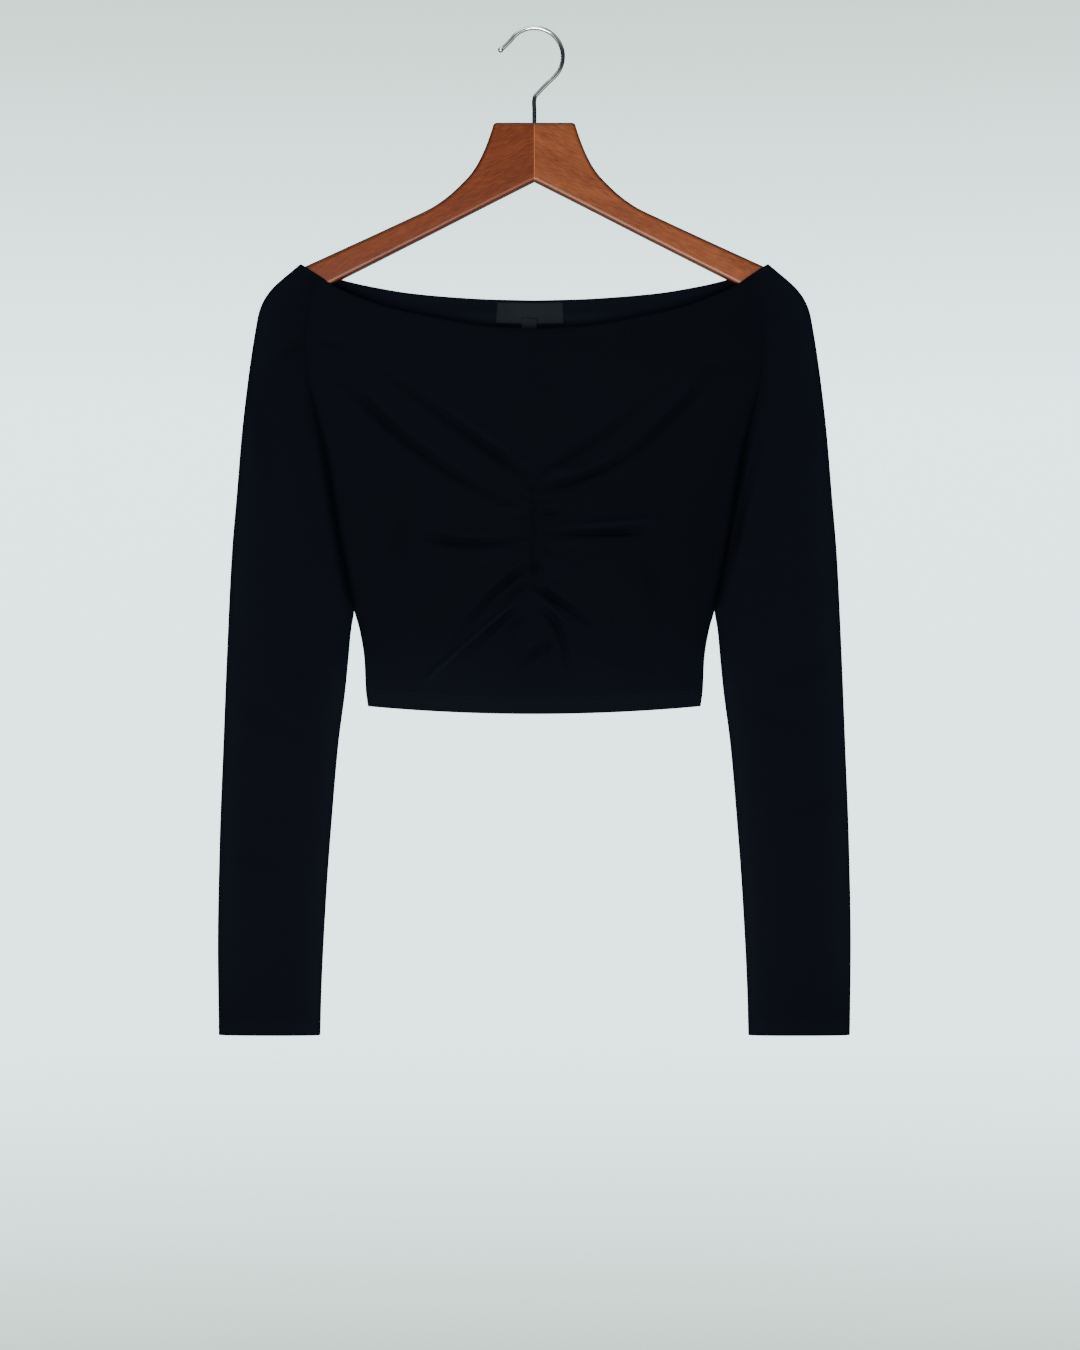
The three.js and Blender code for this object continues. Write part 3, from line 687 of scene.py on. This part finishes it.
def stitch_rows(name, rows, material):
    """Short slim ellipsoids of thread laid along rows of points. Each row is its points
    and their normals; a stitch sits at every pitch, half sunk in the cloth."""
    turn = np.linspace(0, 2 * math.pi, THREAD_SIDES, endpoint=False)
    length = np.array([-1, -0.8, -0.35, 0.35, 0.8, 1])
    thick = np.sqrt(1 - length**2 * 0.98)
    shape = np.stack([
        np.repeat(length, THREAD_SIDES) * STITCH / 2,
        np.outer(thick, np.cos(turn)).ravel() * THREAD,
        np.outer(thick, np.sin(turn)).ravel() * THREAD,
    ], axis=1)
    placed = []
    for path, normal in rows:
        run = distance_along(path)
        at = np.arange(STITCH_PITCH / 2, run[-1], STITCH_PITCH)
        place = at_distance(at, run, path)
        along = unit(at_distance(at + 0.5, run, path) - at_distance(at - 0.5, run, path))
        side = unit(np.cross(at_distance(at, run, normal), along))
        out = np.cross(along, side)
        axes = np.stack([along, side, out], axis=1)
        placed.append(np.einsum("ma,sab->smb", shape, axes) + (place + out * THREAD * 0.5)[:, None])
    points = np.concatenate(placed).reshape(-1, 3)
    first = np.arange(0, len(points), len(shape))[:, None, None]
    around = quads(len(length), THREAD_SIDES, False, True)[:, ::-1]
    start = np.arange(THREAD_SIDES)
    tips = np.stack([start, len(shape) - 1 - start])
    faces = (first + around).reshape(-1, 4).tolist()
    faces += (first + tips).reshape(-1, THREAD_SIDES).tolist()
    return assign(new_object(name, points, faces, material))


def row_of(grid, distance, from_top=False):
    """The line on a grid at a distance from its lower (or upper) edge, and its normals: in
    each column, the share of the way between the two rows that the distance lies between."""
    face, normal = grid, normals_of(grid)
    if from_top:
        face, normal = face[::-1], normal[::-1]
    run = np.cumsum(np.linalg.norm(np.diff(face, axis=0), axis=2), axis=0)
    run = np.concatenate([np.zeros((1, face.shape[1])), run])
    column = np.arange(face.shape[1])
    above = np.clip((run < distance).sum(axis=0), 1, len(run) - 1)
    low, high = run[above - 1, column], run[above, column]
    share = ((distance - low) / (high - low))[:, None]
    return [mix(rows[above - 1, column], rows[above, column], share) for rows in (face, normal)]


def patch_on_back(name, stands_for, material, left, right, top, bottom, over=0.0):
    """A small woven piece on the inside of the back, a shell made from the back's own
    points moved in, its two ends rolled under. It lies over what is that much thick."""
    hem_z = HEM_Z - HEM_DROP
    height = back_neckline(0.0) - hem_z
    rows = share_out(PATCH_GRID[1], (bottom - hem_z) / height, (top - hem_z) / height)
    columns = share_out(PATCH_GRID[0], left / ARMHOLE_TOP_X, right / ARMHOLE_TOP_X)
    u, v = grid_of(columns, rows)
    face = panel(u, v, back_neckline, back_depth, 1, back_relief, BACK_WAVES)[0]
    middle = face[..., 1] - WALL - LABEL_CLEAR - over
    s = np.linspace(-1, 1, face.shape[1])[None]
    t = np.linspace(-1, 1, face.shape[0])[:, None]
    swell = 0.12 * (1 - s**2) * (1 - t**2)
    ends = 1 - ramp(0.94, 1.0, abs(s)) * 0.7
    face[..., 1] = middle - LABEL_THICK * ends - swell
    back = face.copy()
    back[..., 1] = middle
    rings = np.concatenate([face, back[::-1]])
    count, sides = rings.shape[:2]
    uv = np.stack([rings[..., 0], rings[..., 2]], axis=2).reshape(-1, 2) / UV_STEP
    faces = quads(count, sides, True).tolist()
    faces += seam_sides(face.shape[0], sides, count - 1)
    piece = new_object(name, rings.reshape(-1, 3), faces, material, uv)
    return assign(piece, stands_for)


def hanger_outline():
    """Right half of the hanger's outline, from the middle of its top round the arm's end to
    the middle of its underside: straight neck, round corner, concave side, straight arm,
    round nose, and back along the underside."""
    corner = np.linspace(0, math.pi / 2, 9)
    neck = np.stack([
        NECK_HALF + 0.8 - NECK_CORNER + NECK_CORNER * np.sin(corner),
        NECK_TOP_Z - NECK_CORNER + NECK_CORNER * np.cos(corner),
    ], axis=1)
    side_z = np.linspace(-90, -140, 22)
    flank = np.stack([smooth(NECK_SIDE, "z", "x")(side_z), side_z], axis=1)
    arm_x = np.linspace(68, 212, 60)
    upper = np.stack([arm_x, smooth(ARM_TOP, "x", "z")(arm_x)], axis=1)
    turn = np.radians(np.linspace(65, -115, 28))
    nose = np.stack([
        NOSE_X + NOSE_RADIUS * np.cos(turn), NOSE_Z + NOSE_RADIUS * np.sin(turn),
    ], axis=1)
    under_x = np.linspace(201, 0, 90)
    lower = np.stack([under_x, smooth(UNDERSIDE, "x", "z")(under_x)], axis=1)
    top = np.stack([np.linspace(0, 32, 14), np.full(14, NECK_TOP_Z)], axis=1)
    return np.concatenate([top, neck, flank, upper, nose, lower])


def hanger_half(side, material):
    """One mitred half of the board. A half-round rim is carried round its outline: each
    ring is the outline moved in along its normals and back in depth, and flat faces close
    the front, the back and the mitre."""
    outline = hanger_outline()
    direction = unit(np.gradient(outline, axis=0))
    inward = np.stack([direction[:, 1], -direction[:, 0]], axis=1)
    inward[[0, -1]] = [[0, -1], [0, 1]]
    angle = np.radians(np.linspace(0, 90, 7))
    flat = WOOD_THICK / 2
    inset = np.concatenate([[WOOD_BEVEL + 0.5], WOOD_BEVEL * (1 - np.sin(angle))])
    depth = np.concatenate([[-flat], -flat + WOOD_ROUND * (1 - np.cos(angle))])
    inset = np.concatenate([inset, inset[::-1]])
    depth = np.concatenate([depth, -depth[::-1]])
    rings = outline[None] + inward[None] * inset[:, None, None]
    rings[..., 0] = np.maximum(rings[..., 0], 0)
    points = np.stack([
        side * rings[..., 0], np.broadcast_to(depth[:, None], rings.shape[:2]), rings[..., 1],
    ], axis=2)
    count, around = points.shape[:2]
    faces = quads(count, around, False).tolist()
    front = list(range(around))[::-1]
    back = list(range((count - 1) * around, count * around))
    start = [j * around for j in range(count)]
    mitre = start + [j + around - 1 for j in start][::-1]
    faces += [front, back, mitre]
    if side < 0:
        faces = [face[::-1] for face in faces]
    name = "hanger_half_right" if side > 0 else "hanger_half_left"
    piece = new_object(name, points.reshape(-1, 3), faces, material)
    # Painted shade for the wood's colour: full on the rounding and sides where the outline faces
    # up, a little less on the underside behind its front rounding.
    upward = np.clip(-inward[:, 1] * 2, 0, 1)
    round_rim = np.clip(np.arange(count) * 0.3 - 0.3, 0, 1)
    lower_rim = ramp(3, 7, np.arange(count))
    edge = round_rim[:, None] * upward + 0.8 * lower_rim[:, None] * (1 - upward)
    painted_edge_shade_layer = piece.data.attributes.new("edge", "FLOAT", "POINT")
    painted_edge_shade_layer.data.foreach_set("value", edge.astype(np.float32).ravel())
    piece.data.set_sharp_from_angle(angle=math.radians(40))
    assign(piece, "hanger_arm_right" if side > 0 else "hanger_arm_left")


def hook(material):
    """The wire hook: a circle carried along its centreline, a cubic through its knots,
    which is a straight shank, a slant and an arc whose free end turns out and carries a
    bead. The cubic's slope at a knot is taken from the knots on both sides of it."""
    centre_z = WIRE / 2 - HOOK_RADIUS
    arc = np.radians(np.linspace(-44, 146, 17))
    knots = np.array([
        (0, NECK_TOP_Z - SHANK_DEEP + 0.4), (0, NECK_TOP_Z), (0, -72), (0, HOOK_BEND_Z - 2),
        (0.7, HOOK_BEND_Z + 0.6), (3, HOOK_BEND_Z + 3.2), (12, HOOK_BEND_Z + 12.6),
        *zip(HOOK_RADIUS * np.cos(arc), centre_z + HOOK_RADIUS * np.sin(arc)),
        (-26.4, -14.6), (-32.2, -19.6),
    ])
    run = distance_along(knots)
    at = np.linspace(0, run[-1], WIRE_STEPS + 1)
    path = np.stack([cubic(run, k, np.gradient(k, run), at) for k in knots.T], axis=1)
    tangent = unit(np.gradient(path, axis=0))
    bead = run[-1] - at
    radius = np.where(bead < 2 * BEAD_RADIUS,
                      np.sqrt(np.maximum(BEAD_RADIUS**2 - (bead - BEAD_RADIUS) ** 2, 0.01)), 0)
    radius = np.maximum(radius, np.where(bead > BEAD_RADIUS, WIRE / 2, 0))
    turn = np.linspace(0, 2 * math.pi, WIRE_SIDES, endpoint=False)
    side = np.stack([-tangent[:, 1], np.zeros(len(at)), tangent[:, 0]], axis=1)
    centre = np.stack([path[:, 0], np.zeros(len(at)), path[:, 1]], axis=1)
    rings = centre[:, None] + radius[:, None, None] * (
        np.cos(turn)[None, :, None] * side[:, None] + np.sin(turn)[None, :, None] * [0, 1, 0])
    faces = quads(len(at), WIRE_SIDES, False, True).tolist()
    around = list(range(WIRE_SIDES))
    faces += [around[::-1], [WIRE_STEPS * WIRE_SIDES + i for i in around]]
    assign(new_object("hook_wire", rings.reshape(-1, 3), faces, material), "hanger_hook")


def node(tree, kind, **inputs):
    """Adds a shader node. Keyword values set its inputs or, where no input has that name,
    its own settings; a socket is linked."""
    made = tree.nodes.new(kind)
    settings = {key: value for key, value in inputs.items() if not has_input(made, key)}
    for key, value in settings.items():
        setattr(made, key, value)
    feed(tree, made, **{key: value for key, value in inputs.items() if key not in settings})
    return made


def has_input(made, key):
    return any(socket.name == key.replace("_", " ") for socket in made.inputs)


def connect(tree, socket, value):
    """Links a socket to an input, or sets the input's own value."""
    if isinstance(value, bpy.types.NodeSocket):
        tree.links.new(value, socket)
    else:
        socket.default_value = value


def feed(tree, made, **inputs):
    """Links or sets inputs by name, with a low line for each space in a name."""
    for key, value in inputs.items():
        name = key.replace("_", " ")
        connect(tree, next(s for s in made.inputs if s.name == name), value)


def feed_in_order(tree, made, *values):
    """Links or sets the first inputs, one after the other."""
    for socket, value in zip(made.inputs, values):
        connect(tree, socket, value)


def new_group(name, inputs, outputs):
    group = bpy.data.node_groups.new(name, "ShaderNodeTree")
    for label, kind, default in inputs:
        socket = group.interface.new_socket(label, in_out="INPUT", socket_type=kind)
        if default is not None:
            socket.default_value = default
    for label, kind in outputs:
        group.interface.new_socket(label, in_out="OUTPUT", socket_type=kind)
    return group, group.nodes.new("NodeGroupInput"), group.nodes.new("NodeGroupOutput")


def maths(tree, operation, *values):
    """What one arithmetic node gives."""
    made = node(tree, "ShaderNodeMath", operation=operation)
    feed_in_order(tree, made, *values)
    return made.outputs[0]


def scaled(tree, value, times, plus=0.0):
    """A value times a number, plus another."""
    return maths(tree, "MULTIPLY_ADD", value, times, plus)


def knit_group():
    """Rows and wales of a fine knit as a height: the sum of a sine across the wales and a
    sine along them, the second shifted by a slant that follows the first."""
    group, given, out = new_group(
        "fine_knit", [("Vector", "NodeSocketVector", None), ("Pitch", "NodeSocketFloat", 0.07)],
        [("Height", "NodeSocketFloat")])
    place, pitch = given.outputs[:2]
    split = node(group, "ShaderNodeSeparateXYZ", Vector=place)
    u = maths(group, "DIVIDE", split.outputs["X"], pitch)
    v = maths(group, "DIVIDE", split.outputs["Y"], pitch)
    wale = maths(group, "SINE", scaled(group, u, 2 * math.pi))
    slant = scaled(group, maths(group, "ABSOLUTE", wale), 1.2)
    course = maths(group, "SINE", scaled(group, v, 2 * math.pi, slant))
    height = scaled(group, wale, 0.6, scaled(group, course, 0.4))
    group.links.new(height, out.inputs["Height"])
    return group


def unevenness_group():
    """Slow and fine noise mixed into one value round a half."""
    group, given, out = new_group(
        "unevenness",
        [("Vector", "NodeSocketVector", None), ("Slow", "NodeSocketFloat", 8.0),
         ("Fine", "NodeSocketFloat", 160.0)],
        [("Value", "NodeSocketFloat")])
    place, slow_scale, fine_scale = given.outputs[:3]
    slow = node(group, "ShaderNodeTexNoise", Vector=place, Scale=slow_scale, Detail=3.0)
    fine = node(group, "ShaderNodeTexNoise", Vector=place, Scale=fine_scale, Detail=2.0)
    both = scaled(group, slow.outputs[0], 0.65, scaled(group, fine.outputs[0], 0.35))
    group.links.new(both, out.inputs["Value"])
    return group


def use_group(tree, group, **inputs):
    made = tree.nodes.new("ShaderNodeGroup")
    made.node_tree = group
    feed(tree, made, **inputs)
    return made.outputs[0]


def new_material(name):
    """A material with one shader, and the place of each point on its object."""
    material = bpy.data.materials.new(name)
    material.use_nodes = True
    tree = material.node_tree
    tree.nodes.clear()
    shader = tree.nodes.new("ShaderNodeBsdfPrincipled")
    output = tree.nodes.new("ShaderNodeOutputMaterial")
    tree.links.new(shader.outputs[0], output.inputs[0])
    place = tree.nodes.new("ShaderNodeTexCoord").outputs["Object"]
    return material, tree, shader, place


def two_tone(tree, factor, low, high, start=0.3, end=0.7):
    """One colour up to start, another from end on, and a straight mix between."""
    shade = tree.nodes.new("ShaderNodeValToRGB")
    for element, position, colour in zip(shade.color_ramp.elements, (start, end), (low, high)):
        element.position = position
        element.color = (*colour, 1)
    tree.links.new(factor, shade.inputs[0])
    return shade.outputs[0]


def mixed_colour(tree, factor, base, over):
    """A colour laid over another by a factor."""
    made = node(tree, "ShaderNodeMix", data_type="RGBA", clamp_factor=True)
    for number, value in ((0, factor), (6, base), (7, (*over, 1))):
        connect(tree, made.inputs[number], value)
    return made.outputs[2]


def bumped(tree, height, strength, distance):
    made = node(tree, "ShaderNodeBump", Strength=strength, Distance=distance, Height=height)
    return made.outputs[0]


def jersey(knit, unevenness):
    """Black jersey: darker or lighter by the painted light and shade given point by point, a fine
    knit, and a trace of cool sheen.
    """
    material, tree, shader, place = new_material("black_jersey")
    cloth_uv = node(tree, "ShaderNodeUVMap", uv_map="cloth").outputs[0]
    # the painted light and shade stored on the points, which sets the colour between its two tones
    painted_shading = node(tree, "ShaderNodeAttribute", attribute_name="painted_shading").outputs["Fac"]
    uneven = use_group(tree, unevenness, Vector=place, Slow=14.0, Fine=420.0)
    tone = scaled(tree, uneven, 0.16, maths(tree, "SUBTRACT", painted_shading, 0.08))
    height = use_group(tree, knit, Vector=cloth_uv, Pitch=0.075)
    feed(tree, shader,
         Base_Color=two_tone(tree, tone, (0.0002, 0.0003, 0.0004), (0.0036, 0.0048, 0.0082), 0, 1),
         Roughness=scaled(tree, uneven, 0.2, 0.6), Normal=bumped(tree, height, 0.5, 0.00008),
         Specular_IOR_Level=0.022, Specular_Tint=(0.85, 0.9, 1.0, 1),
         Sheen_Weight=0.008, Sheen_Roughness=0.35, Sheen_Tint=(0.6, 0.8, 1.0, 1))
    return material


def thread_material(unevenness):
    material, tree, shader, place = new_material("black_thread")
    tone = use_group(tree, unevenness, Vector=place, Slow=60.0, Fine=2500.0)
    feed(tree, shader,
         Base_Color=two_tone(tree, tone, (0.0007, 0.0012, 0.0020), (0.0020, 0.0032, 0.0052)),
         Roughness=0.6, Specular_IOR_Level=0.06)
    return material


def label_material(knit, unevenness):
    material, tree, shader, place = new_material("woven_label")
    cloth_uv = node(tree, "ShaderNodeUVMap", uv_map="cloth").outputs[0]
    tone = use_group(tree, unevenness, Vector=place, Slow=40.0, Fine=900.0)
    height = use_group(tree, knit, Vector=cloth_uv, Pitch=0.05)
    feed(tree, shader,
         Base_Color=two_tone(tree, tone, (0.0026, 0.0048, 0.0066), (0.0045, 0.0076, 0.0102)),
         Normal=bumped(tree, height, 0.6, 0.00006), Roughness=0.6, Specular_IOR_Level=0.1)
    return material


def wood_material(name, side, tones, unevenness):
    """Varnished wood with its grain along one arm: stretched noise for the figure, finer
    stretched noise for flecks, and a broad unevenness. A pale glue line runs down the
    joint of the halves, and painted shade darkens the rounded edges and sides that face up,
    and the underside behind its front rounding."""
    material, tree, shader, place = new_material(name)
    along = node(tree, "ShaderNodeMapping", Vector=place, Rotation=(0, -side * GRAIN_SLOPE, 0))
    figure = node(tree, "ShaderNodeMapping", Vector=along.outputs[0], Scale=(7, 40, 60))
    flecks = node(tree, "ShaderNodeMapping", Vector=along.outputs[0], Scale=(110, 480, 900))
    broad = node(tree, "ShaderNodeTexNoise", Vector=figure.outputs[0],
                 Scale=1.0, Detail=5.0, Distortion=0.6).outputs[0]
    fine = node(tree, "ShaderNodeTexNoise", Vector=flecks.outputs[0],
                Scale=1.0, Detail=3.0).outputs[0]
    cloud = use_group(tree, unevenness, Vector=place, Slow=9.0, Fine=60.0)
    grain = scaled(tree, broad, 0.38, scaled(tree, fine, 0.42, scaled(tree, cloud, 0.2)))
    across = node(tree, "ShaderNodeSeparateXYZ", Vector=place).outputs["X"]
    at_joint = maths(tree, "LESS_THAN", maths(tree, "ABSOLUTE", across), JOINT_LINE * MM)
    # painted shade at the rounded edges, stored on the points
    edge = node(tree, "ShaderNodeAttribute", attribute_name="edge").outputs["Fac"]
    body = mixed_colour(tree, at_joint, two_tone(tree, grain, *tones, 0.36, 0.64), GLUE_LINE)
    feed(tree, shader,
         Base_Color=mixed_colour(tree, edge, body, PAINTED_EDGE_SHADE),
         Roughness=scaled(tree, fine, 0.15, 0.28), Normal=bumped(tree, fine, 0.25, 0.0001),
         Specular_IOR_Level=0.22, Coat_Weight=0.15, Coat_Roughness=0.28)
    return material


def chrome_material(unevenness):
    material, tree, shader, place = new_material("polished_wire")
    tone = use_group(tree, unevenness, Vector=place, Slow=40.0, Fine=160.0)
    feed(tree, shader,
         Base_Color=two_tone(tree, tone, (0.80, 0.81, 0.82), (0.93, 0.94, 0.95)),
         Roughness=scaled(tree, tone, 0.05, 0.09), Metallic=1.0,
         Specular_Tint=(0.4, 0.4, 0.4, 1))
    return material


def build_top(materials):
    front, front_painted_shading = front_grid()
    back, back_painted_shading = back_grid()
    right, right_painted_shading = sleeve_grid(RIGHT_SLEEVE_FOLDS, RIGHT_WAVES)
    left, left_painted_shading = sleeve_grid(LEFT_SLEEVE_FOLDS, LEFT_WAVES)
    left, left_painted_shading = mirrored(left), left_painted_shading[:, ::-1]
    cloth = materials["jersey"]
    front_shell = cloth_shell(
        "front_cloth", front, front_painted_shading, cloth, "front_panel", FRONT_SPREAD)
    back_shell = cloth_shell("back_cloth", back, back_painted_shading, cloth, "back_panel", BACK_SPREAD)
    right_shell = cloth_shell(
        "sleeve_right_cloth", right, right_painted_shading, cloth, "sleeve_right", SLEEVE_SPREAD)
    left_shell = cloth_shell(
        "sleeve_left_cloth", left, left_painted_shading, cloth, "sleeve_left", SLEEVE_SPREAD)
    thread = materials["thread"]
    hem = [row_of(g, HEM_BAND - low) for g in (front, back) for low in (HEM_ROWS_APART, 0)]
    cuffs = [row_of(g, CUFF_BAND - low) for g in (left, right) for low in (CUFF_ROWS_APART, 0)]
    neck = [row_of(g, NECK_BAND - 1, True) for g in (front, back, left, right)]
    hem_thread = stitch_rows("hem_stitches", hem, thread)
    cuff_thread = stitch_rows("cuff_stitches", cuffs, thread)
    neck_thread = stitch_rows("neckline_stitches", neck, thread)
    middle = front.shape[1] // 2
    column, outward = front[:, middle], normals_of(front)[:, middle]
    gathered = (column[:, 2] > GATHER_BOTTOM) & (column[:, 2] < GATHER_TOP)
    gather_thread = stitch_rows("gather_stitches", [(column[gathered], outward[gathered])], thread)
    label = patch_on_back("neck_label_woven", "neck_label", materials["label"], **LABEL)
    tab = patch_on_back("size_tab_woven", "size_tab", materials["label"], **TAB, over=TAB_OVER)


def build_hanger(materials):
    hanger_half(1, materials["wood_right"])
    hanger_half(-1, materials["wood_left"])
    hook(materials["chrome"])


def build_floor():
    """A pale round floor well below, which fades out towards its rim."""
    material, tree, shader, place = new_material("pale_floor")
    feed(tree, shader, Base_Color=(0.86, 0.92, 0.90, 1), Roughness=0.9)
    flat = node(tree, "ShaderNodeVectorMath", operation="MULTIPLY")
    feed_in_order(tree, flat, place, (1, 1, 0))
    reach = node(tree, "ShaderNodeVectorMath", operation="LENGTH")
    feed_in_order(tree, reach, flat.outputs[0])
    fade = node(tree, "ShaderNodeMapRange", interpolation_type="SMOOTHSTEP",
                Value=reach.outputs["Value"], From_Min=FLOOR_FADE[0], From_Max=FLOOR_FADE[1])
    clear = tree.nodes.new("ShaderNodeBsdfTransparent")
    soft_edge = tree.nodes.new("ShaderNodeMixShader")
    feed_in_order(tree, soft_edge, fade.outputs[0], shader.outputs[0], clear.outputs[0])
    surface_out = next(n for n in tree.nodes if n.type == "OUTPUT_MATERIAL")
    connect(tree, surface_out.inputs[0], soft_edge.outputs[0])
    turn = np.linspace(0, 2 * math.pi, 96, endpoint=False)
    rim = np.stack([
        FLOOR_RADIUS * np.cos(turn), FLOOR_RADIUS * np.sin(turn), np.full(96, FLOOR_Z),
    ], axis=1)
    floor = new_object("floor", rim, [list(range(96))], material)
    floor.visible_diffuse = floor.visible_glossy = floor.visible_shadow = False


def build_room():
    """The room that lights the object is bright in front, less so behind and dim to the
    sides. The camera sees a plain pale surround in its place."""
    world = bpy.data.worlds.new("studio")
    bpy.context.scene.world = world
    world.use_nodes = True
    tree = world.node_tree
    tree.nodes.clear()
    direction = tree.nodes.new("ShaderNodeTexCoord").outputs["Generated"]
    parts = node(tree, "ShaderNodeSeparateXYZ", Vector=direction)
    level = scaled(tree, parts.outputs["Z"], 0.5, 0.5)
    ahead = node(tree, "ShaderNodeMapRange", interpolation_type="SMOOTHSTEP",
                 Value=scaled(tree, parts.outputs["Y"], -1.0),
                 From_Min=0.1, From_Max=0.6, To_Min=0.1, To_Max=1.25).outputs[0]
    behind = node(tree, "ShaderNodeMapRange", interpolation_type="SMOOTHSTEP",
                  Value=parts.outputs["Y"], From_Min=0.6, From_Max=0.9, To_Max=0.8).outputs[0]
    room, wall = (tree.nodes.new("ShaderNodeValToRGB") for _ in range(2))
    for shade, steps in ((room, ROOM_LIGHT), (wall, WALL_COLOUR)):
        for position, *colour in steps:
            shade.color_ramp.elements.new(position).color = (*colour, 1)
        tree.links.new(level, shade.inputs[0])
    lit = node(tree, "ShaderNodeBackground", Color=room.outputs[0],
               Strength=maths(tree, "ADD", ahead, behind))
    seen = node(tree, "ShaderNodeBackground", Color=wall.outputs[0], Strength=3.0)
    by_camera = tree.nodes.new("ShaderNodeLightPath").outputs["Is Camera Ray"]
    blend = tree.nodes.new("ShaderNodeMixShader")
    feed_in_order(tree, blend, by_camera, lit.outputs[0], seen.outputs[0])
    output = tree.nodes.new("ShaderNodeOutputWorld")
    connect(tree, output.inputs[0], blend.outputs[0])


def build_lights():
    for name, place, size, watts, tint, mirrored_in_gloss in LIGHTS:
        data = bpy.data.lights.new(name, "AREA")
        data.shape = "DISK"
        data.size = size
        data.energy = watts
        data.color = tint
        light = bpy.data.objects.new(name, data)
        light.location = place
        light.visible_glossy = mirrored_in_gloss
        aim = Vector(LIGHT_TARGET) - Vector(place)
        light.rotation_euler = aim.to_track_quat("-Z", "Y").to_euler()
        bpy.context.collection.objects.link(light)


def build_camera():
    data = bpy.data.cameras.new("camera")
    data.lens = LENS
    data.sensor_width = SENSOR
    data.clip_start = 0.05
    camera = bpy.data.objects.new("camera", data)
    distance = FRAME_HEIGHT * LENS / SENSOR
    camera.location = (FRAME_CENTRE_X * MM, -distance * MM, FRAME_CENTRE_Z * MM)
    camera.rotation_euler = (math.radians(90), 0, 0)
    bpy.context.collection.objects.link(camera)
    bpy.context.scene.camera = camera


knit, unevenness = knit_group(), unevenness_group()
finishes = {
    "jersey": jersey(knit, unevenness),
    "thread": thread_material(unevenness),
    "label": label_material(knit, unevenness),
    "wood_right": wood_material("varnished_wood_right", 1, WOOD_RIGHT, unevenness),
    "wood_left": wood_material("varnished_wood_left", -1, WOOD_LEFT, unevenness),
    "chrome": chrome_material(unevenness),
}
build_camera()
build_top(finishes)
build_hanger(finishes)
build_floor()
build_room()
build_lights()
